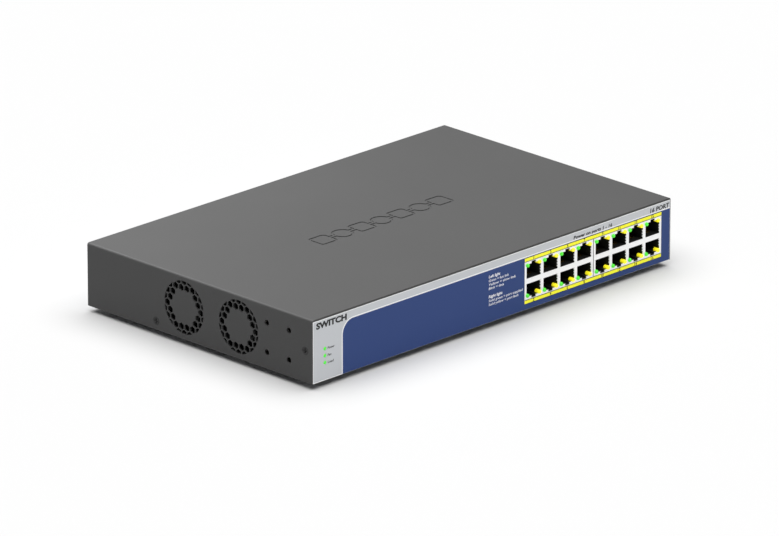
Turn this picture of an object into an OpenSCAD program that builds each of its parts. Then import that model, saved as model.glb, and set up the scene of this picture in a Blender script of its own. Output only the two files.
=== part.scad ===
// Desktop network switch: sixteen sockets in two ganged blocks, a mains supply inside,
// two side fans, and a folded steel cover over a folded steel tray.
// Millimetres. +Z is up, the sockets face -Y, and the origin is on the floor below the middle.

/* [Body] */
// Width of the body, left to right
body_w = 330; // [328:1:345]
// Depth of the body, front to back
body_d = 207; // [206:1:220]
// Height of the body without its feet
body_h = 43.2; // [43:0.1:45]
// Thickness of the folded steel
sheet_t = 1.2; // [1:0.1:1.2]
// Height of the rubber feet
foot_h = 4.3; // [3:0.1:6]
// Radius of the rubber feet
foot_r = 7; // [6:0.5:8]

/* [Sockets] */
// Distance between neighbouring sockets
port_pitch = 15.75; // [15.5:0.05:15.9]
// Width of a socket's opening
port_w = 13.2; // [12.6:0.1:13.2]
// Width of the slit between the two blocks of sockets
block_slit = 0.6; // [0.5:0.1:1]
// Middle of the slit, right of the body's middle
block_mid_x = 92.05; // [88:0.05:94]
// Line between the two rows, above the body's underside
port_mid_z = 19.8; // [19.6:0.1:20]

/* [Fans] */
// Width and height of a fan's frame
fan_size = 40; // [38:1:40]
// Thickness of a fan's frame
fan_t = 20; // [15:1:20]
// Distance between the two fans
fan_pitch = 50.1; // [45:0.1:54]
// Number of blades on a rotor
blade_count = 7; // [5:1:9]

/* [Side walls] */
// Distance between neighbouring honeycomb holes
hex_pitch = 5.1; // [5:0.1:5.2]
// Width of a honeycomb hole across its flats
hex_flats = 4.4; // [3.4:0.1:4.4]
// Spacing of the four rack bracket holes
bracket_pitch = 20; // [18:0.5:22]
// Radius of a rack bracket hole
bracket_hole_r = 2; // [1.5:0.1:2.1]

/* [Mains inlet] */
// Middle of the inlet, right of the body's middle
inlet_x = -85; // [-95:1:-75]
// Middle of the inlet, above the body's underside
inlet_rise = 21.6; // [20:0.1:23]

/* [Hidden] */
$fn = 48;

// Outside faces of the body
right = body_w / 2;
front = -body_d / 2;
rear = body_d / 2;
under = foot_h;
top = foot_h + body_h;

// The tray inside the cover, with a little play all round
play = 0.2;
film_t = 0.4;
film_inset = 0.5;
film_right = right - film_inset;
tray_right = right - sheet_t - play;
tray_front = front + film_t;
tray_top = top - sheet_t - play;
floor_z = under + sheet_t;
wall_inner = tray_right - sheet_t;
flange_top = under + 3.6;
flange_tab = under + 10.7;
bend_r = 1.5;

// Cover screws, as places on a side wall and on the rear wall
side_screws = [[rear - 64, under + 6], [front + 6.6, under + 21.2]];
rear_screw_x = [-120, 120];
rear_screw_z = top - 7;
screw_r = 1.45;
screw_head_r = 2.9;

// Rack bracket holes
bracket_y = front + 31.2;
bracket_z = under + 21.15;
bracket_places = [for (dy = [-0.5, 0.5], dz = [-0.5, 0.5])
                  [bracket_y + dy * bracket_pitch, bracket_z + dz * bracket_pitch]];
nut_r = 3.3;
nut_h = 3;

// Sockets: four columns and two rows to a block
columns = 4;
block_margin = 0.45;
block_w = columns * port_pitch + 2 * block_margin;
block_h = 25.8;
block_d = 25;
block_x = [block_mid_x - (block_w + block_slit) / 2, block_mid_x + (block_w + block_slit) / 2];
block_z = under + port_mid_z;
board_top = block_z - block_h / 2;
shield_t = 0.3;
// Floor of the sockets of each row, ledge beside the latch slot and end of the slot, all counted
// from the line between the rows
row_floor = [1.4, 2.2];
port_ledge = 11.1;
latch_end = 12.2;
latch_w = 3.9;
port_deep = 15;
// The lights are rods along Y, let into the corners of the sockets beside the latch slot
led_dx = [-5.65, 5.45];
led_dz = 10.4;
led_r = 1.35;
led_deep = 3.2;
contact_pitch = 1.016;
contact_w = 0.36;

// Boards
pcb_t = 1.6;
board_left = -26;
board_right = tray_right - 6;
board_front = tray_front + sheet_t + 0.5;
board_rear = board_front + 150;
psu_left = -129;
psu_right = -32;
psu_front = -50;
psu_rear = 74;
psu_pcb_z = floor_z + 6;
psu_top = psu_pcb_z + pcb_t;
board_posts = [for (x = [board_left + 6, 67, board_right - 6], y = [board_front + 44, board_rear - 6])
               [x, y]];
psu_posts = [for (x = [psu_left + 5, psu_right - 5], y = [psu_front + 5, psu_rear - 5]) [x, y]];
post_r = 3;

// Status lights, on a small upright board behind the front wall
status_x = -right + 11.2;
status_z = [for (i = [-1, 0, 1]) under + 16.8 + 4.7 * i];
status_r = 1.2;

// Fans, blowing through the left wall
fan_y = [front + 67, front + 67 + fan_pitch];
fan_z = under + 21.7;
fan_left = -wall_inner + 0.2;
fan_right = fan_left + fan_t;
duct_r = fan_size / 2 - 0.9;
blade_r = duct_r - 0.6;
hub_r = 11.5;
cup_r = 10.3;
shaft_r = 1;
bearing_gap = 0.03;
bracket_t = 1;
grille_r = 18.1;

// Mains inlet
inlet_z = under + inlet_rise;
inlet_deep = 17;
wall_in = rear - sheet_t;

// ---- helpers ----

// Block between two opposite corners
module block(lo, hi) {
    translate(lo) cube(hi - lo);
}

// Prism along X, its outline drawn as (Y, Z)
module along_x(x0, x1) {
    translate([x0, 0, 0]) rotate([90, 0, 90]) linear_extrude(x1 - x0) children();
}

// Prism along Y, its outline drawn as (X, Z)
module along_y(y0, y1) {
    translate([0, y1, 0]) rotate([90, 0, 0]) linear_extrude(y1 - y0) children();
}

// Prism along Z, its outline drawn as (X, Y)
module along_z(z0, z1) {
    translate([0, 0, z0]) linear_extrude(z1 - z0) children();
}

// Round-cornered rectangle between two opposite corners
module round_rect(lo, hi, r) {
    translate([lo[0] + r, lo[1]]) square([hi[0] - lo[0] - 2 * r, hi[1] - lo[1]]);
    translate([lo[0], lo[1] + r]) square([hi[0] - lo[0], hi[1] - lo[1] - 2 * r]);
    for (x = [lo[0] + r, hi[0] - r], y = [lo[1] + r, hi[1] - r]) translate([x, y]) circle(r);
}

// Children on both sides of the body
module both_sides() {
    children();
    mirror([1, 0, 0]) children();
}

// Round wire or cable along a list of points. No stretch of any route runs along lean.
lean = [-1, 1, 1];
function unit(v) = v / norm(v);
function heading(route, i) =
    unit(route[min(i + 1, len(route) - 1)] - route[max(i - 1, 0)]);
function wire_ring(route, i, r, sides) =
    let (t = heading(route, i), u = unit(cross(t, lean)), v = cross(t, u))
    [for (k = [0:sides - 1]) route[i] + r * (cos(360 * k / sides) * u + sin(360 * k / sides) * v)];
module wire(route, r, sides = 8) {
    last = len(route) - 1;
    points = [for (i = [0:last]) each wire_ring(route, i, r, sides)];
    skin = [for (i = [0:last - 1], k = [0:sides - 1])
            [i * sides + k, (i + 1) * sides + k,
             (i + 1) * sides + (k + 1) % sides, i * sides + (k + 1) % sides]];
    near = [for (k = [0:sides - 1]) k];
    far = [for (k = [0:sides - 1]) last * sides + sides - 1 - k];
    polyhedron(points, concat(skin, [near], [far]), convexity = 6);
}

// Smooth route: each inner corner of a list of points becomes a short curve
function corner(a, b, c, r) =
    let (p = b + unit(a - b) * r, q = b + unit(c - b) * r)
    [for (t = [0:0.25:1]) (1 - t) * (1 - t) * p + 2 * t * (1 - t) * b + t * t * q];
function rounded(route, r) =
    concat([route[0]],
           [for (i = [1:len(route) - 2]) each corner(route[i - 1], route[i], route[i + 1], r)],
           [route[len(route) - 1]]);

// Countersunk screw along +Z: flush head at z = 0, shank below
module countersunk(length) {
    translate([0, 0, -sheet_t]) cylinder(h = sheet_t, r1 = screw_r, r2 = screw_head_r);
    translate([0, 0, -length]) cylinder(h = length - sheet_t, r = screw_r);
}
module countersink() {
    translate([0, 0, -sheet_t]) cylinder(h = sheet_t, r1 = screw_r + 0.05, r2 = screw_head_r + 0.05);
    translate([0, 0, -3 * sheet_t]) cylinder(h = 6 * sheet_t, r = screw_r + 0.05);
}

// Domed screw along +Z: underside of the head at z = 0
module domed_screw(length, shank_r, head_r, head_h) {
    difference() {
        cylinder(h = head_h, r1 = head_r, r2 = head_r * 0.8);
        translate([0, 0, head_h / 2]) cylinder(h = head_h, r = head_r * 0.4, $fn = 6);
    }
    translate([0, 0, -length]) cylinder(h = length, r = shank_r);
}

// ---- folded steel ----

module hexagon() {
    rotate(30) circle(hex_flats / 2 / cos(30), $fn = 6);
}

function lattice(row, column) =
    [hex_pitch * (column + 0.5 * (abs(row) % 2)), hex_pitch * row * sin(60)];

// Ring of honeycomb holes in front of a fan, as (Y, Z)
module fan_grille() {
    intersection() {
        for (row = [-4:4], column = [-4:4])
            if (norm(lattice(row, column)) > 2.5 * hex_pitch
                && norm(lattice(row, column)) < 3.7 * hex_pitch)
                translate(lattice(row, column)) hexagon();
        circle(grille_r);
    }
}

// Field of honeycomb holes that lets the air in on the other side
module intake_grille() {
    for (row = [-2:2], column = [-9:9]) translate(lattice(row, column)) hexagon();
}

module cover_outline() {
    difference() {
        union() {
            translate([-right, under]) square([body_w, body_h - bend_r]);
            translate([-right + bend_r, under]) square([body_w - 2 * bend_r, body_h]);
            for (s = [-1, 1]) translate([s * (right - bend_r), top - bend_r]) circle(bend_r);
        }
        translate([-right + sheet_t, under - 1])
            square([body_w - 2 * sheet_t, body_h - sheet_t + 1]);
    }
}

// Mark pressed into the top: outlined squares and rounds by turns, joined by bars
mark_w = 122;
mark_d = 15;
mark_y = front + 103;
mark_groove = 1.5;
mark_deep = 0.5;
mark_cells = 7;
cell_pitch = (mark_w - mark_d) / (mark_cells - 1);
bar_w = 4.4;
module mark_cell(i, shrink) {
    half = mark_d / 2 - shrink;
    if (i % 2 == 0) round_rect([-half, -half], [half, half], 3 - shrink);
    else circle(half);
}
module mark_solid(shrink) {
    for (i = [0:mark_cells - 1])
        translate([(i - (mark_cells - 1) / 2) * cell_pitch, mark_y]) mark_cell(i, shrink);
    translate([-mark_w / 2 + mark_d / 2, mark_y - bar_w / 2 + shrink])
        square([mark_w - mark_d, bar_w - 2 * shrink]);
}
module mark_outline() {
    difference() {
        mark_solid(0);
        mark_solid(mark_groove);
    }
}

module top_cover() {
    color([0.26, 0.26, 0.27]) difference() {
        union() {
            along_y(front, rear) cover_outline();
            for (x = rear_screw_x) block([x - 9, wall_in - sheet_t, top - 14], [x + 9, wall_in, top - sheet_t]);
        }
        for (y = fan_y) along_x(-right - 1, -right + 2 * sheet_t) translate([y, fan_z]) fan_grille();
        along_x(right - 2 * sheet_t, right + 1) translate([0, fan_z]) intake_grille();
        for (p = bracket_places) both_sides()
            translate([right - 2 * sheet_t, p[0], p[1]]) rotate([0, 90, 0])
                cylinder(h = 3 * sheet_t, r = bracket_hole_r);
        for (p = side_screws) both_sides()
            translate([right, p[0], p[1]]) rotate([0, 90, 0]) countersink();
        for (x = rear_screw_x) translate([x, wall_in - 2 * sheet_t, rear_screw_z]) rotate([-90, 0, 0])
            cylinder(h = 3 * sheet_t, r = screw_r + 0.05);
        along_z(top - mark_deep, top + 1) mark_outline();
        both_sides() block([tray_right - play, front - 1, under - 1],
                           [film_right + 0.05, tray_front, tray_top + 0.05]);
    }
}

module side_flange() {
    block([wall_inner, tray_front, under], [tray_right, rear, flange_top]);
    block([wall_inner, side_screws[0][0] - 7, under], [tray_right, side_screws[0][0] + 7, flange_tab]);
    block([wall_inner, tray_front, under], [tray_right, front + 14, under + 34]);
}

module tray_solid() {
    block([-tray_right, tray_front, under], [tray_right, rear, floor_z]);
    block([-tray_right, tray_front, under], [tray_right, tray_front + sheet_t, tray_top]);
    block([-tray_right, wall_in, under], [tray_right, rear, tray_top]);
    both_sides() side_flange();
}

// Window in the front wall and the film for the blocks of sockets
module socket_window(grow) {
    half = block_w + block_slit / 2 + grow;
    translate([block_mid_x - half, block_z - block_h / 2 - grow])
        square([2 * half, block_h + 2 * grow]);
}

module base_tray() {
    color([0.62, 0.63, 0.65]) difference() {
        tray_solid();
        along_y(front - 1, front + 4) {
            socket_window(0.15);
            for (z = status_z) translate([status_x, z]) circle(status_r + 0.3);
        }
        along_y(wall_in - 1, rear + 1) inlet_outline(0.2);
        along_y(wall_in - 1, rear + 1) round_rect([118, inlet_z - 5], [121, inlet_z + 2], 0.7);
        for (s = [-1, 1]) translate([inlet_x + 20 * s, rear, inlet_z]) rotate([-90, 0, 0]) countersink();
        for (x = rear_screw_x) translate([x, rear, rear_screw_z]) rotate([-90, 0, 0]) countersink();
        for (p = side_screws) both_sides()
            translate([wall_inner - 1, p[0], p[1]]) rotate([0, 90, 0])
                cylinder(h = 2 * sheet_t + 1, r = screw_r + 0.05);
        for (p = bracket_screw_places) translate([p[0], p[1], under - 1])
            cylinder(h = 2 * sheet_t + 1, r = screw_r + 0.05);
    }
}

// Printed film on the front wall
module front_label() {
    color([0.75, 0.76, 0.78]) along_y(front, tray_front) difference() {
        translate([-film_right, under + 0.2]) square([2 * film_right, tray_top - under - 0.2]);
        socket_window(0.15);
        for (z = status_z) translate([status_x, z]) circle(status_r + 0.1);
    }
}

module rubber_feet() {
    color([0.07, 0.07, 0.07]) for (x = [-1, 1], y = [-1, 1])
        translate([x * (right - 20), y * (rear - 20), 0])
            cylinder(h = foot_h, r1 = foot_r - 0.8, r2 = foot_r);
}

module cover_screws() {
    color([0.2, 0.2, 0.2]) {
        for (p = side_screws) both_sides()
            translate([right, p[0], p[1]]) rotate([0, 90, 0]) countersunk(6);
        for (x = rear_screw_x) translate([x, rear, rear_screw_z]) rotate([-90, 0, 0]) countersunk(6);
    }
}

// Clinch nuts behind the rack bracket holes
module bracket_nuts() {
    color([0.7, 0.7, 0.68]) for (p = bracket_places) both_sides()
        translate([right - sheet_t - nut_h, p[0], p[1]]) rotate([0, 90, 0]) difference() {
            cylinder(h = nut_h, r = nut_r);
            translate([0, 0, -1]) cylinder(h = nut_h + 2, r = bracket_hole_r);
        }
}

// ---- sockets ----

// Opening of one socket as (X, Z), counted from the line between the rows, latch slot on top
module port_outline(slot_end) {
    translate([-port_w / 2, $floor]) square([port_w, port_ledge - $floor]);
    translate([-latch_w / 2, $floor]) square([latch_w, slot_end - $floor]);
}

// Children in each socket of a block; the lower row is upside down
module each_port(block_index) {
    for (column = [0:columns - 1], row = [0, 1])
        translate([block_x[block_index] + (column - (columns - 1) / 2) * port_pitch, 0, block_z])
            mirror([0, 0, row]) let ($floor = row_floor[row]) children();
}

module led_bores(block_index, grow) {
    each_port(block_index) for (dx = led_dx)
        translate([dx, front - 1, led_dz]) rotate([-90, 0, 0])
            cylinder(h = led_deep + 1.1, r = led_r + grow);
}

// Block of sockets, shrunk on every side but its underside
module jack_body(block_index, shrink, underside = board_top) {
    x = block_x[block_index];
    block([x - block_w / 2 + shrink, front + shrink, underside],
          [x + block_w / 2 - shrink, front + block_d - shrink, board_top + block_h - shrink]);
}

module jack_shield(block_index) {
    color([0.86, 0.86, 0.87]) difference() {
        jack_body(block_index, 0);
        jack_body(block_index, shield_t, board_top - 1);
        each_port(block_index) along_y(front - 1, front + 1) port_outline(block_h / 2 - shield_t);
        led_bores(block_index, 0.05);
    }
}
module jack_shield_left() { jack_shield(0); }
module jack_shield_right() { jack_shield(1); }

module jack_housing(block_index) {
    color([0.08, 0.08, 0.09]) difference() {
        jack_body(block_index, shield_t);
        each_port(block_index) along_y(front, front + port_deep) port_outline(latch_end);
        led_bores(block_index, 0.05);
    }
}
module jack_housing_left() { jack_housing(0); }
module jack_housing_right() { jack_housing(1); }

// One spring contact as (Y, Z): along the floor, then folded back and up
module contact_outline() {
    polygon([[front + port_deep, 0], [front + 6, 0], [front + 5.6, 0.3], [front + 5.9, 0.62],
             [front + 12.4, 2.5], [front + 12.6, 2.2], [front + 6.9, 0.35],
             [front + port_deep, 0.35]]);
}
module jack_contacts(block_index) {
    color([0.85, 0.68, 0.25]) each_port(block_index) for (i = [0:7]) translate([0, 0, $floor])
        along_x((i - 3.5) * contact_pitch - contact_w / 2, (i - 3.5) * contact_pitch + contact_w / 2)
            contact_outline();
}
module jack_contacts_left() { jack_contacts(0); }
module jack_contacts_right() { jack_contacts(1); }

module port_leds(side) {
    for (block_index = [0, 1]) each_port(block_index)
        translate([led_dx[side], front, led_dz]) rotate([-90, 0, 0])
            cylinder(h = led_deep, r = led_r);
}
module port_leds_green() { color([0.35, 0.9, 0.25]) port_leds(0); }
module port_leds_yellow() { color([0.98, 0.9, 0.15]) port_leds(1); }

// ---- main board ----

// Chip on the main board: middle, size and height
module chip(x, y, w, d, h) {
    block([x - w / 2, y - d / 2, board_top], [x + w / 2, y + d / 2, board_top + h]);
}

module main_board() {
    color([0.08, 0.32, 0.16]) difference() {
        block([board_left, board_front, board_top - pcb_t], [board_right, board_rear, board_top]);
        for (p = board_posts) translate([p[0], p[1], board_top - pcb_t - 1])
            cylinder(h = pcb_t + 2, r = screw_r + 0.1);
    }
}

module lan_transformers() {
    color([0.1, 0.1, 0.1]) for (x = block_x, i = [-1.5:1.5])
        chip(x + i * port_pitch, front + block_d + 9, 13, 10, 6);
}

chip_x = 92;
chip_y = -22;
module switch_chip() {
    color([0.12, 0.12, 0.12]) chip(chip_x, chip_y, 24, 24, 1.8);
}

// Finned heatsink with its base on z
module heatsink(x, y, z, w, d, h, fins) {
    block([x - w / 2, y - d / 2, z], [x + w / 2, y + d / 2, z + 2.5]);
    for (i = [0:fins - 1])
        translate([x - w / 2 + i * (w - 1) / (fins - 1), y - d / 2, z]) cube([1, d, h]);
}
module switch_heatsink() {
    color([0.75, 0.76, 0.78]) heatsink(chip_x, chip_y, board_top + 1.8, 42, 42, 16, 12);
}

poe_places = [[2, -50], [2, -20], [36, -50], [36, -20]];
module poe_chips() {
    color([0.12, 0.12, 0.12]) for (p = poe_places) chip(p[0], p[1], 9, 9, 1.2);
}
module poe_heatsinks() {
    color([0.2, 0.2, 0.21]) for (p = poe_places)
        heatsink(p[0], p[1], board_top + 1.2, 18, 18, 8, 6);
}

module power_inductors() {
    color([0.3, 0.3, 0.32]) for (x = [60, 78, 96, 114]) translate([x, 25, board_top]) difference() {
        along_z(0, 7) round_rect([-6, -6], [6, 6], 1.5);
        translate([0, 0, 6.4]) cylinder(h = 1, r = 3.5);
    }
}

module can(x, y, z, r, h) {
    translate([x, y, z]) {
        cylinder(h = h - 0.5, r = r);
        translate([0, 0, h - 0.5]) cylinder(h = 0.5, r1 = r, r2 = r - 0.5);
    }
}
module board_capacitors() {
    color([0.22, 0.24, 0.4]) {
        for (x = [60, 72, 84, 96, 108, 120]) can(x, 38, board_top, 4, 11);
        for (y = [-5, 8]) can(20, y, board_top, 5, 14);
    }
}

module memory_chips() {
    color([0.12, 0.12, 0.12]) {
        chip(132, -30, 10, 7, 1.2);
        chip(132, -12, 12, 12, 1.2);
    }
}

// Pin headers on the main board: supply, two fans, status lights
header_places = [[board_left + 8, 25, 6, 20], [board_left + 8, -67, 6, 8],
                 [board_left + 8, -79, 6, 8], [board_left + 8, -92, 6, 8]];
header_h = 7;
module board_headers() {
    color([0.9, 0.9, 0.86]) for (p = header_places) chip(p[0], p[1], p[2], p[3], header_h);
}

module board_standoffs() {
    color([0.72, 0.7, 0.6]) {
        for (p = board_posts) post(p, floor_z, board_top - pcb_t);
        for (p = psu_posts) post(p, floor_z, psu_pcb_z);
    }
}
module post(p, z0, z1) {
    translate([p[0], p[1], z0]) difference() {
        cylinder(h = z1 - z0, r = post_r);
        translate([0, 0, 0.8]) cylinder(h = z1 - z0, r = screw_r + 0.05);
    }
}

module board_screws() {
    color([0.8, 0.8, 0.78]) {
        for (p = board_posts) translate([p[0], p[1], board_top]) domed_screw(4, screw_r, 2.8, 2);
        for (p = psu_posts) translate([p[0], p[1], psu_top]) domed_screw(5, screw_r, 2.8, 2);
    }
}

// ---- status lights ----

status_face = tray_front + sheet_t + 5;
module status_board() {
    color([0.08, 0.32, 0.16])
        block([status_x - 5, status_face, floor_z + 3], [status_x + 9, status_face + pcb_t, floor_z + 26]);
}

module status_leds() {
    color([0.35, 0.9, 0.25]) for (z = status_z)
        translate([status_x, front + 0.2, z]) rotate([-90, 0, 0]) {
            cylinder(h = status_face - front - 0.2, r = status_r);
            translate([0, 0, status_face - front - 1.2]) cylinder(h = 1, r = status_r + 0.5);
        }
}

// Flat ribbon along the tray's floor from the status board to the main board
ribbon_y = header_places[3][1];
module status_cable() {
    color([0.8, 0.8, 0.82]) translate([0, ribbon_y, 0]) along_y(-3, 3) ribbon_outline();
}
module ribbon_outline() {
    low = floor_z + 0.5;
    x0 = status_x + 2;
    x1 = header_places[3][0];
    high = board_top + header_h;
    translate([x0, low]) square([0.8, 9]);
    translate([x0, low]) square([board_left - 2 - x0, 0.8]);
    translate([board_left - 2.8, low]) square([0.8, high + 0.8 - low]);
    translate([board_left - 2.8, high]) square([x1 - board_left + 2.8, 0.8]);
}

// ---- mains supply ----

module on_psu(x, y, w, d, h, lift = 0) {
    block([x - w / 2, y - d / 2, psu_top + lift], [x + w / 2, y + d / 2, psu_top + lift + h]);
}

module psu_board() {
    color([0.55, 0.42, 0.18]) difference() {
        block([psu_left, psu_front, psu_pcb_z], [psu_right, psu_rear, psu_top]);
        for (p = psu_posts) translate([p[0], p[1], psu_pcb_z - 1])
            cylinder(h = pcb_t + 2, r = screw_r + 0.1);
    }
}

// Sheet that keeps the solder side off the tray, with holes for the posts
module psu_insulator() {
    color([0.9, 0.9, 0.85]) difference() {
        block([psu_left - 0.5, psu_front - 4, floor_z], [psu_right + 4, psu_rear + 4, floor_z + 0.3]);
        for (p = psu_posts) translate([p[0], p[1], floor_z - 1]) cylinder(h = 3, r = post_r + 0.1);
    }
}

core_x = -74;
core_y = 0;
module psu_transformer_core() {
    color([0.18, 0.18, 0.19]) for (s = [-1, 1]) {
        on_psu(core_x + s * 15, core_y, 6, 14, 25, 3);
        translate([0, 0, s > 0 ? 0 : 22]) on_psu(core_x, core_y, 24, 14, 3, 3);
    }
    color([0.18, 0.18, 0.19]) translate([core_x, core_y, psu_top + 6]) cylinder(h = 19, r = 5);
}
module psu_transformer_coil() {
    color([0.95, 0.8, 0.2]) difference() {
        union() {
            translate([core_x, core_y, psu_top + 7.5]) cylinder(h = 16, r = 10.5);
            for (z = [6.2, 23.4]) translate([core_x, core_y, psu_top + z]) cylinder(h = 1.4, r = 11.8);
        }
        translate([core_x, core_y, psu_top]) cylinder(h = 40, r = 5.3);
    }
}

module psu_bulk_capacitors() {
    color([0.1, 0.1, 0.12]) for (y = [-31, -7]) can(-116, y, psu_top, 11, 28);
}

// Plate on edge with fins on one side: side is -1 for fins to the left, 1 to the right
sink_x = [-99, -50];
sink_t = 3;
fin_d = 4;
module upright_heatsink(x, y, length, side) {
    on_psu(x, y, sink_t, length, 26);
    for (i = [0:4])
        on_psu(x + side * (sink_t + fin_d) / 2, y - length / 2 + 2 + i * (length - 4) / 4, fin_d, 1.5, 26);
}
module psu_primary_heatsink() {
    color([0.7, 0.71, 0.72]) upright_heatsink(sink_x[0], -14, 44, -1);
}
module psu_secondary_heatsink() {
    color([0.7, 0.71, 0.72]) upright_heatsink(sink_x[1], 8, 50, 1);
}
transistor_t = 4.6;
module psu_transistors() {
    color([0.12, 0.12, 0.12]) {
        for (y = [-27, -14]) on_psu(sink_x[0] + (sink_t + transistor_t) / 2, y, transistor_t, 10, 15, 4);
        for (y = [-12, 20]) on_psu(sink_x[1] - (sink_t + transistor_t) / 2, y, transistor_t, 10, 15, 4);
    }
}

// Common mode choke: a ring core with wire wound on it, standing on the board
module psu_line_choke() {
    color([0.72, 0.4, 0.15]) translate([-112, 34, psu_top + 11]) rotate([90, 0, 0])
        rotate_extrude() translate([7.5, 0]) circle(3.5);
}

module psu_film_capacitor() {
    color([0.85, 0.8, 0.3]) on_psu(-88, 34, 18, 9, 15);
}

module psu_fuse() {
    color([0.92, 0.92, 0.88]) translate([-125, 42, psu_top + 4]) rotate([-90, 0, 0]) {
        cylinder(h = 20, r = 2.6);
        cylinder(h = 5, r = 3);
        translate([0, 0, 15]) cylinder(h = 5, r = 3);
    }
}

module psu_output_capacitors() {
    color([0.15, 0.2, 0.35]) for (y = [-35, -24, 42]) can(-40, y, psu_top, 5, 20);
}

// Mains connector and output connector
mains_plug = [-88, 54];
output_plug = [psu_right - 8, 24];
plug_h = 9;
module psu_connectors() {
    color([0.95, 0.95, 0.92]) {
        on_psu(mains_plug[0], mains_plug[1], 16, 8, plug_h);
        on_psu(output_plug[0], output_plug[1], 8, 20, plug_h);
    }
}

// ---- mains inlet ----

// Mains inlet outline as (X, Z), with its two upper corners cut off
module inlet_outline(grow) {
    w = 13.5 + grow;
    h = 9.8 + grow;
    cut = 5;
    translate([inlet_x, inlet_z])
        polygon([[-w, -h], [w, -h], [w, h - cut], [w - cut, h], [cut - w, h], [-w, h - cut]]);
}

module inlet_socket() {
    color([0.06, 0.06, 0.06]) difference() {
        union() {
            along_y(rear - 22, rear) inlet_outline(0);
            along_y(wall_in - 2.5, wall_in)
                round_rect([inlet_x - 25, inlet_z - 11], [inlet_x + 25, inlet_z + 11], 3);
        }
        along_y(rear - inlet_deep, rear + 1) inlet_outline(-1.3);
        for (s = [-1, 1]) translate([inlet_x + 20 * s, rear, inlet_z]) rotate([90, 0, 0])
            cylinder(h = 8, r = screw_r + 0.05);
        for (p = inlet_blades) inlet_blade_at(p, 0.02);
    }
}

inlet_blades = [[-7, -2], [7, -2], [0, 2]];
module inlet_blade_at(p, grow) {
    block([inlet_x + p[0] - 1 - grow, rear - 26, inlet_z + p[1] - 2 - grow],
          [inlet_x + p[0] + 1 + grow, rear - 3, inlet_z + p[1] + 2 + grow]);
}
module inlet_pins() {
    color([0.8, 0.78, 0.7]) for (p = inlet_blades) inlet_blade_at(p, 0);
}

module inlet_screws() {
    color([0.2, 0.2, 0.2]) for (s = [-1, 1])
        translate([inlet_x + 20 * s, rear, inlet_z]) rotate([-90, 0, 0]) countersunk(7);
}

module inlet_wires() {
    color([0.55, 0.3, 0.12]) for (p = inlet_blades) wire(rounded([
        [inlet_x + p[0], rear - 26, inlet_z + p[1]],
        [inlet_x + p[0], rear - 34, inlet_z + p[1]],
        [mains_plug[0] + p[0] * 0.6, mains_plug[1], psu_top + plug_h + 5 + p[1] * 0.5],
        [mains_plug[0] + p[0] * 0.6, mains_plug[1], psu_top + plug_h]], 3), 1.1);
}

// ---- cables ----

supply_header = header_places[0];
module dc_cable() {
    color([0.75, 0.12, 0.1]) for (i = [-1.5:1.5]) wire(rounded([
        [output_plug[0], output_plug[1] + i * 4, psu_top + plug_h],
        [output_plug[0], output_plug[1] + i * 4, psu_top + plug_h + 7],
        [supply_header[0], supply_header[1] + i * 4, psu_top + plug_h + 7],
        [supply_header[0], supply_header[1] + i * 4, board_top + header_h]], 4), 1.1);
}

// Each fan's lead leaves through the bracket, runs forward beside the supply, then right to its
// header, in its own lane
lead_exit = [2 - fan_size / 2, floor_z + 9.5];
module fan_lead(y, lane, header) {
    exit_x = fan_right + bracket_t;
    low = floor_z + 4.5;
    high = board_top + header_h + 3;
    lane_x = exit_x + 3.5 + 3 * lane;
    lane_y = psu_front - 10 + 3 * lane;
    turn_x = board_left - 8 + 3 * lane;
    wire(rounded([
        [exit_x, y, lead_exit[1]],
        [lane_x, y, lead_exit[1]],
        [lane_x, lane_y, low],
        [turn_x, lane_y, low],
        [turn_x, header[1], high],
        [header[0], header[1], high],
        [header[0], header[1], high - 3]], 1.4), 1);
}
module fan_cables() {
    color([0.05, 0.05, 0.05]) for (lane = [0, 1])
        fan_lead(fan_y[lane] + lead_exit[0], lane, header_places[2 - lane]);
}

// ---- fans ----

bracket_ends = [fan_y[0] - fan_size / 2 - 3, fan_y[1] + fan_size / 2 + 3];
bracket_screw_places = [for (y = [bracket_ends[0] + 4, fan_y[0] + fan_pitch / 2, bracket_ends[1] - 4])
                        [fan_right + 8, y]];
fan_corners = [for (y = [-1, 1], z = [-1, 1]) [y * fan_size * 0.4, z * fan_size * 0.4]];

// Steel angle that holds both fans against the left wall
module fan_bracket() {
    color([0.66, 0.67, 0.68]) difference() {
        union() {
            block([fan_right, bracket_ends[0], floor_z], [fan_right + bracket_t, bracket_ends[1], tray_top - 1]);
            for (p = bracket_screw_places)
                block([fan_right, p[1] - 4, floor_z], [p[0] + 4, p[1] + 4, floor_z + bracket_t]);
        }
        for (y = fan_y) translate([fan_right - 1, y, fan_z]) rotate([0, 90, 0]) {
            cylinder(h = bracket_t + 2, r = duct_r - 0.6);
            for (c = fan_corners) translate([-c[1], c[0], 0]) cylinder(h = bracket_t + 2, r = 1.7);
        }
        for (y = fan_y) translate([fan_right - 1, y + lead_exit[0], lead_exit[1]]) rotate([0, 90, 0])
            cylinder(h = bracket_t + 2, r = 1.3);
        for (p = bracket_screw_places) translate([p[0], p[1], floor_z - 1])
            cylinder(h = bracket_t + 2, r = screw_r + 0.05);
    }
}

module bracket_screws() {
    color([0.8, 0.8, 0.78]) for (p = bracket_screw_places)
        translate([p[0], p[1], floor_z + bracket_t]) domed_screw(bracket_t + sheet_t, screw_r, 2.8, 2);
}

module fan_screws() {
    color([0.3, 0.3, 0.3]) for (y = fan_y, c = fan_corners)
        translate([fan_right + bracket_t, y + c[0], fan_z + c[1]]) rotate([0, 90, 0])
            domed_screw(8, 1.5, 2.6, 1.8);
}

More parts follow.
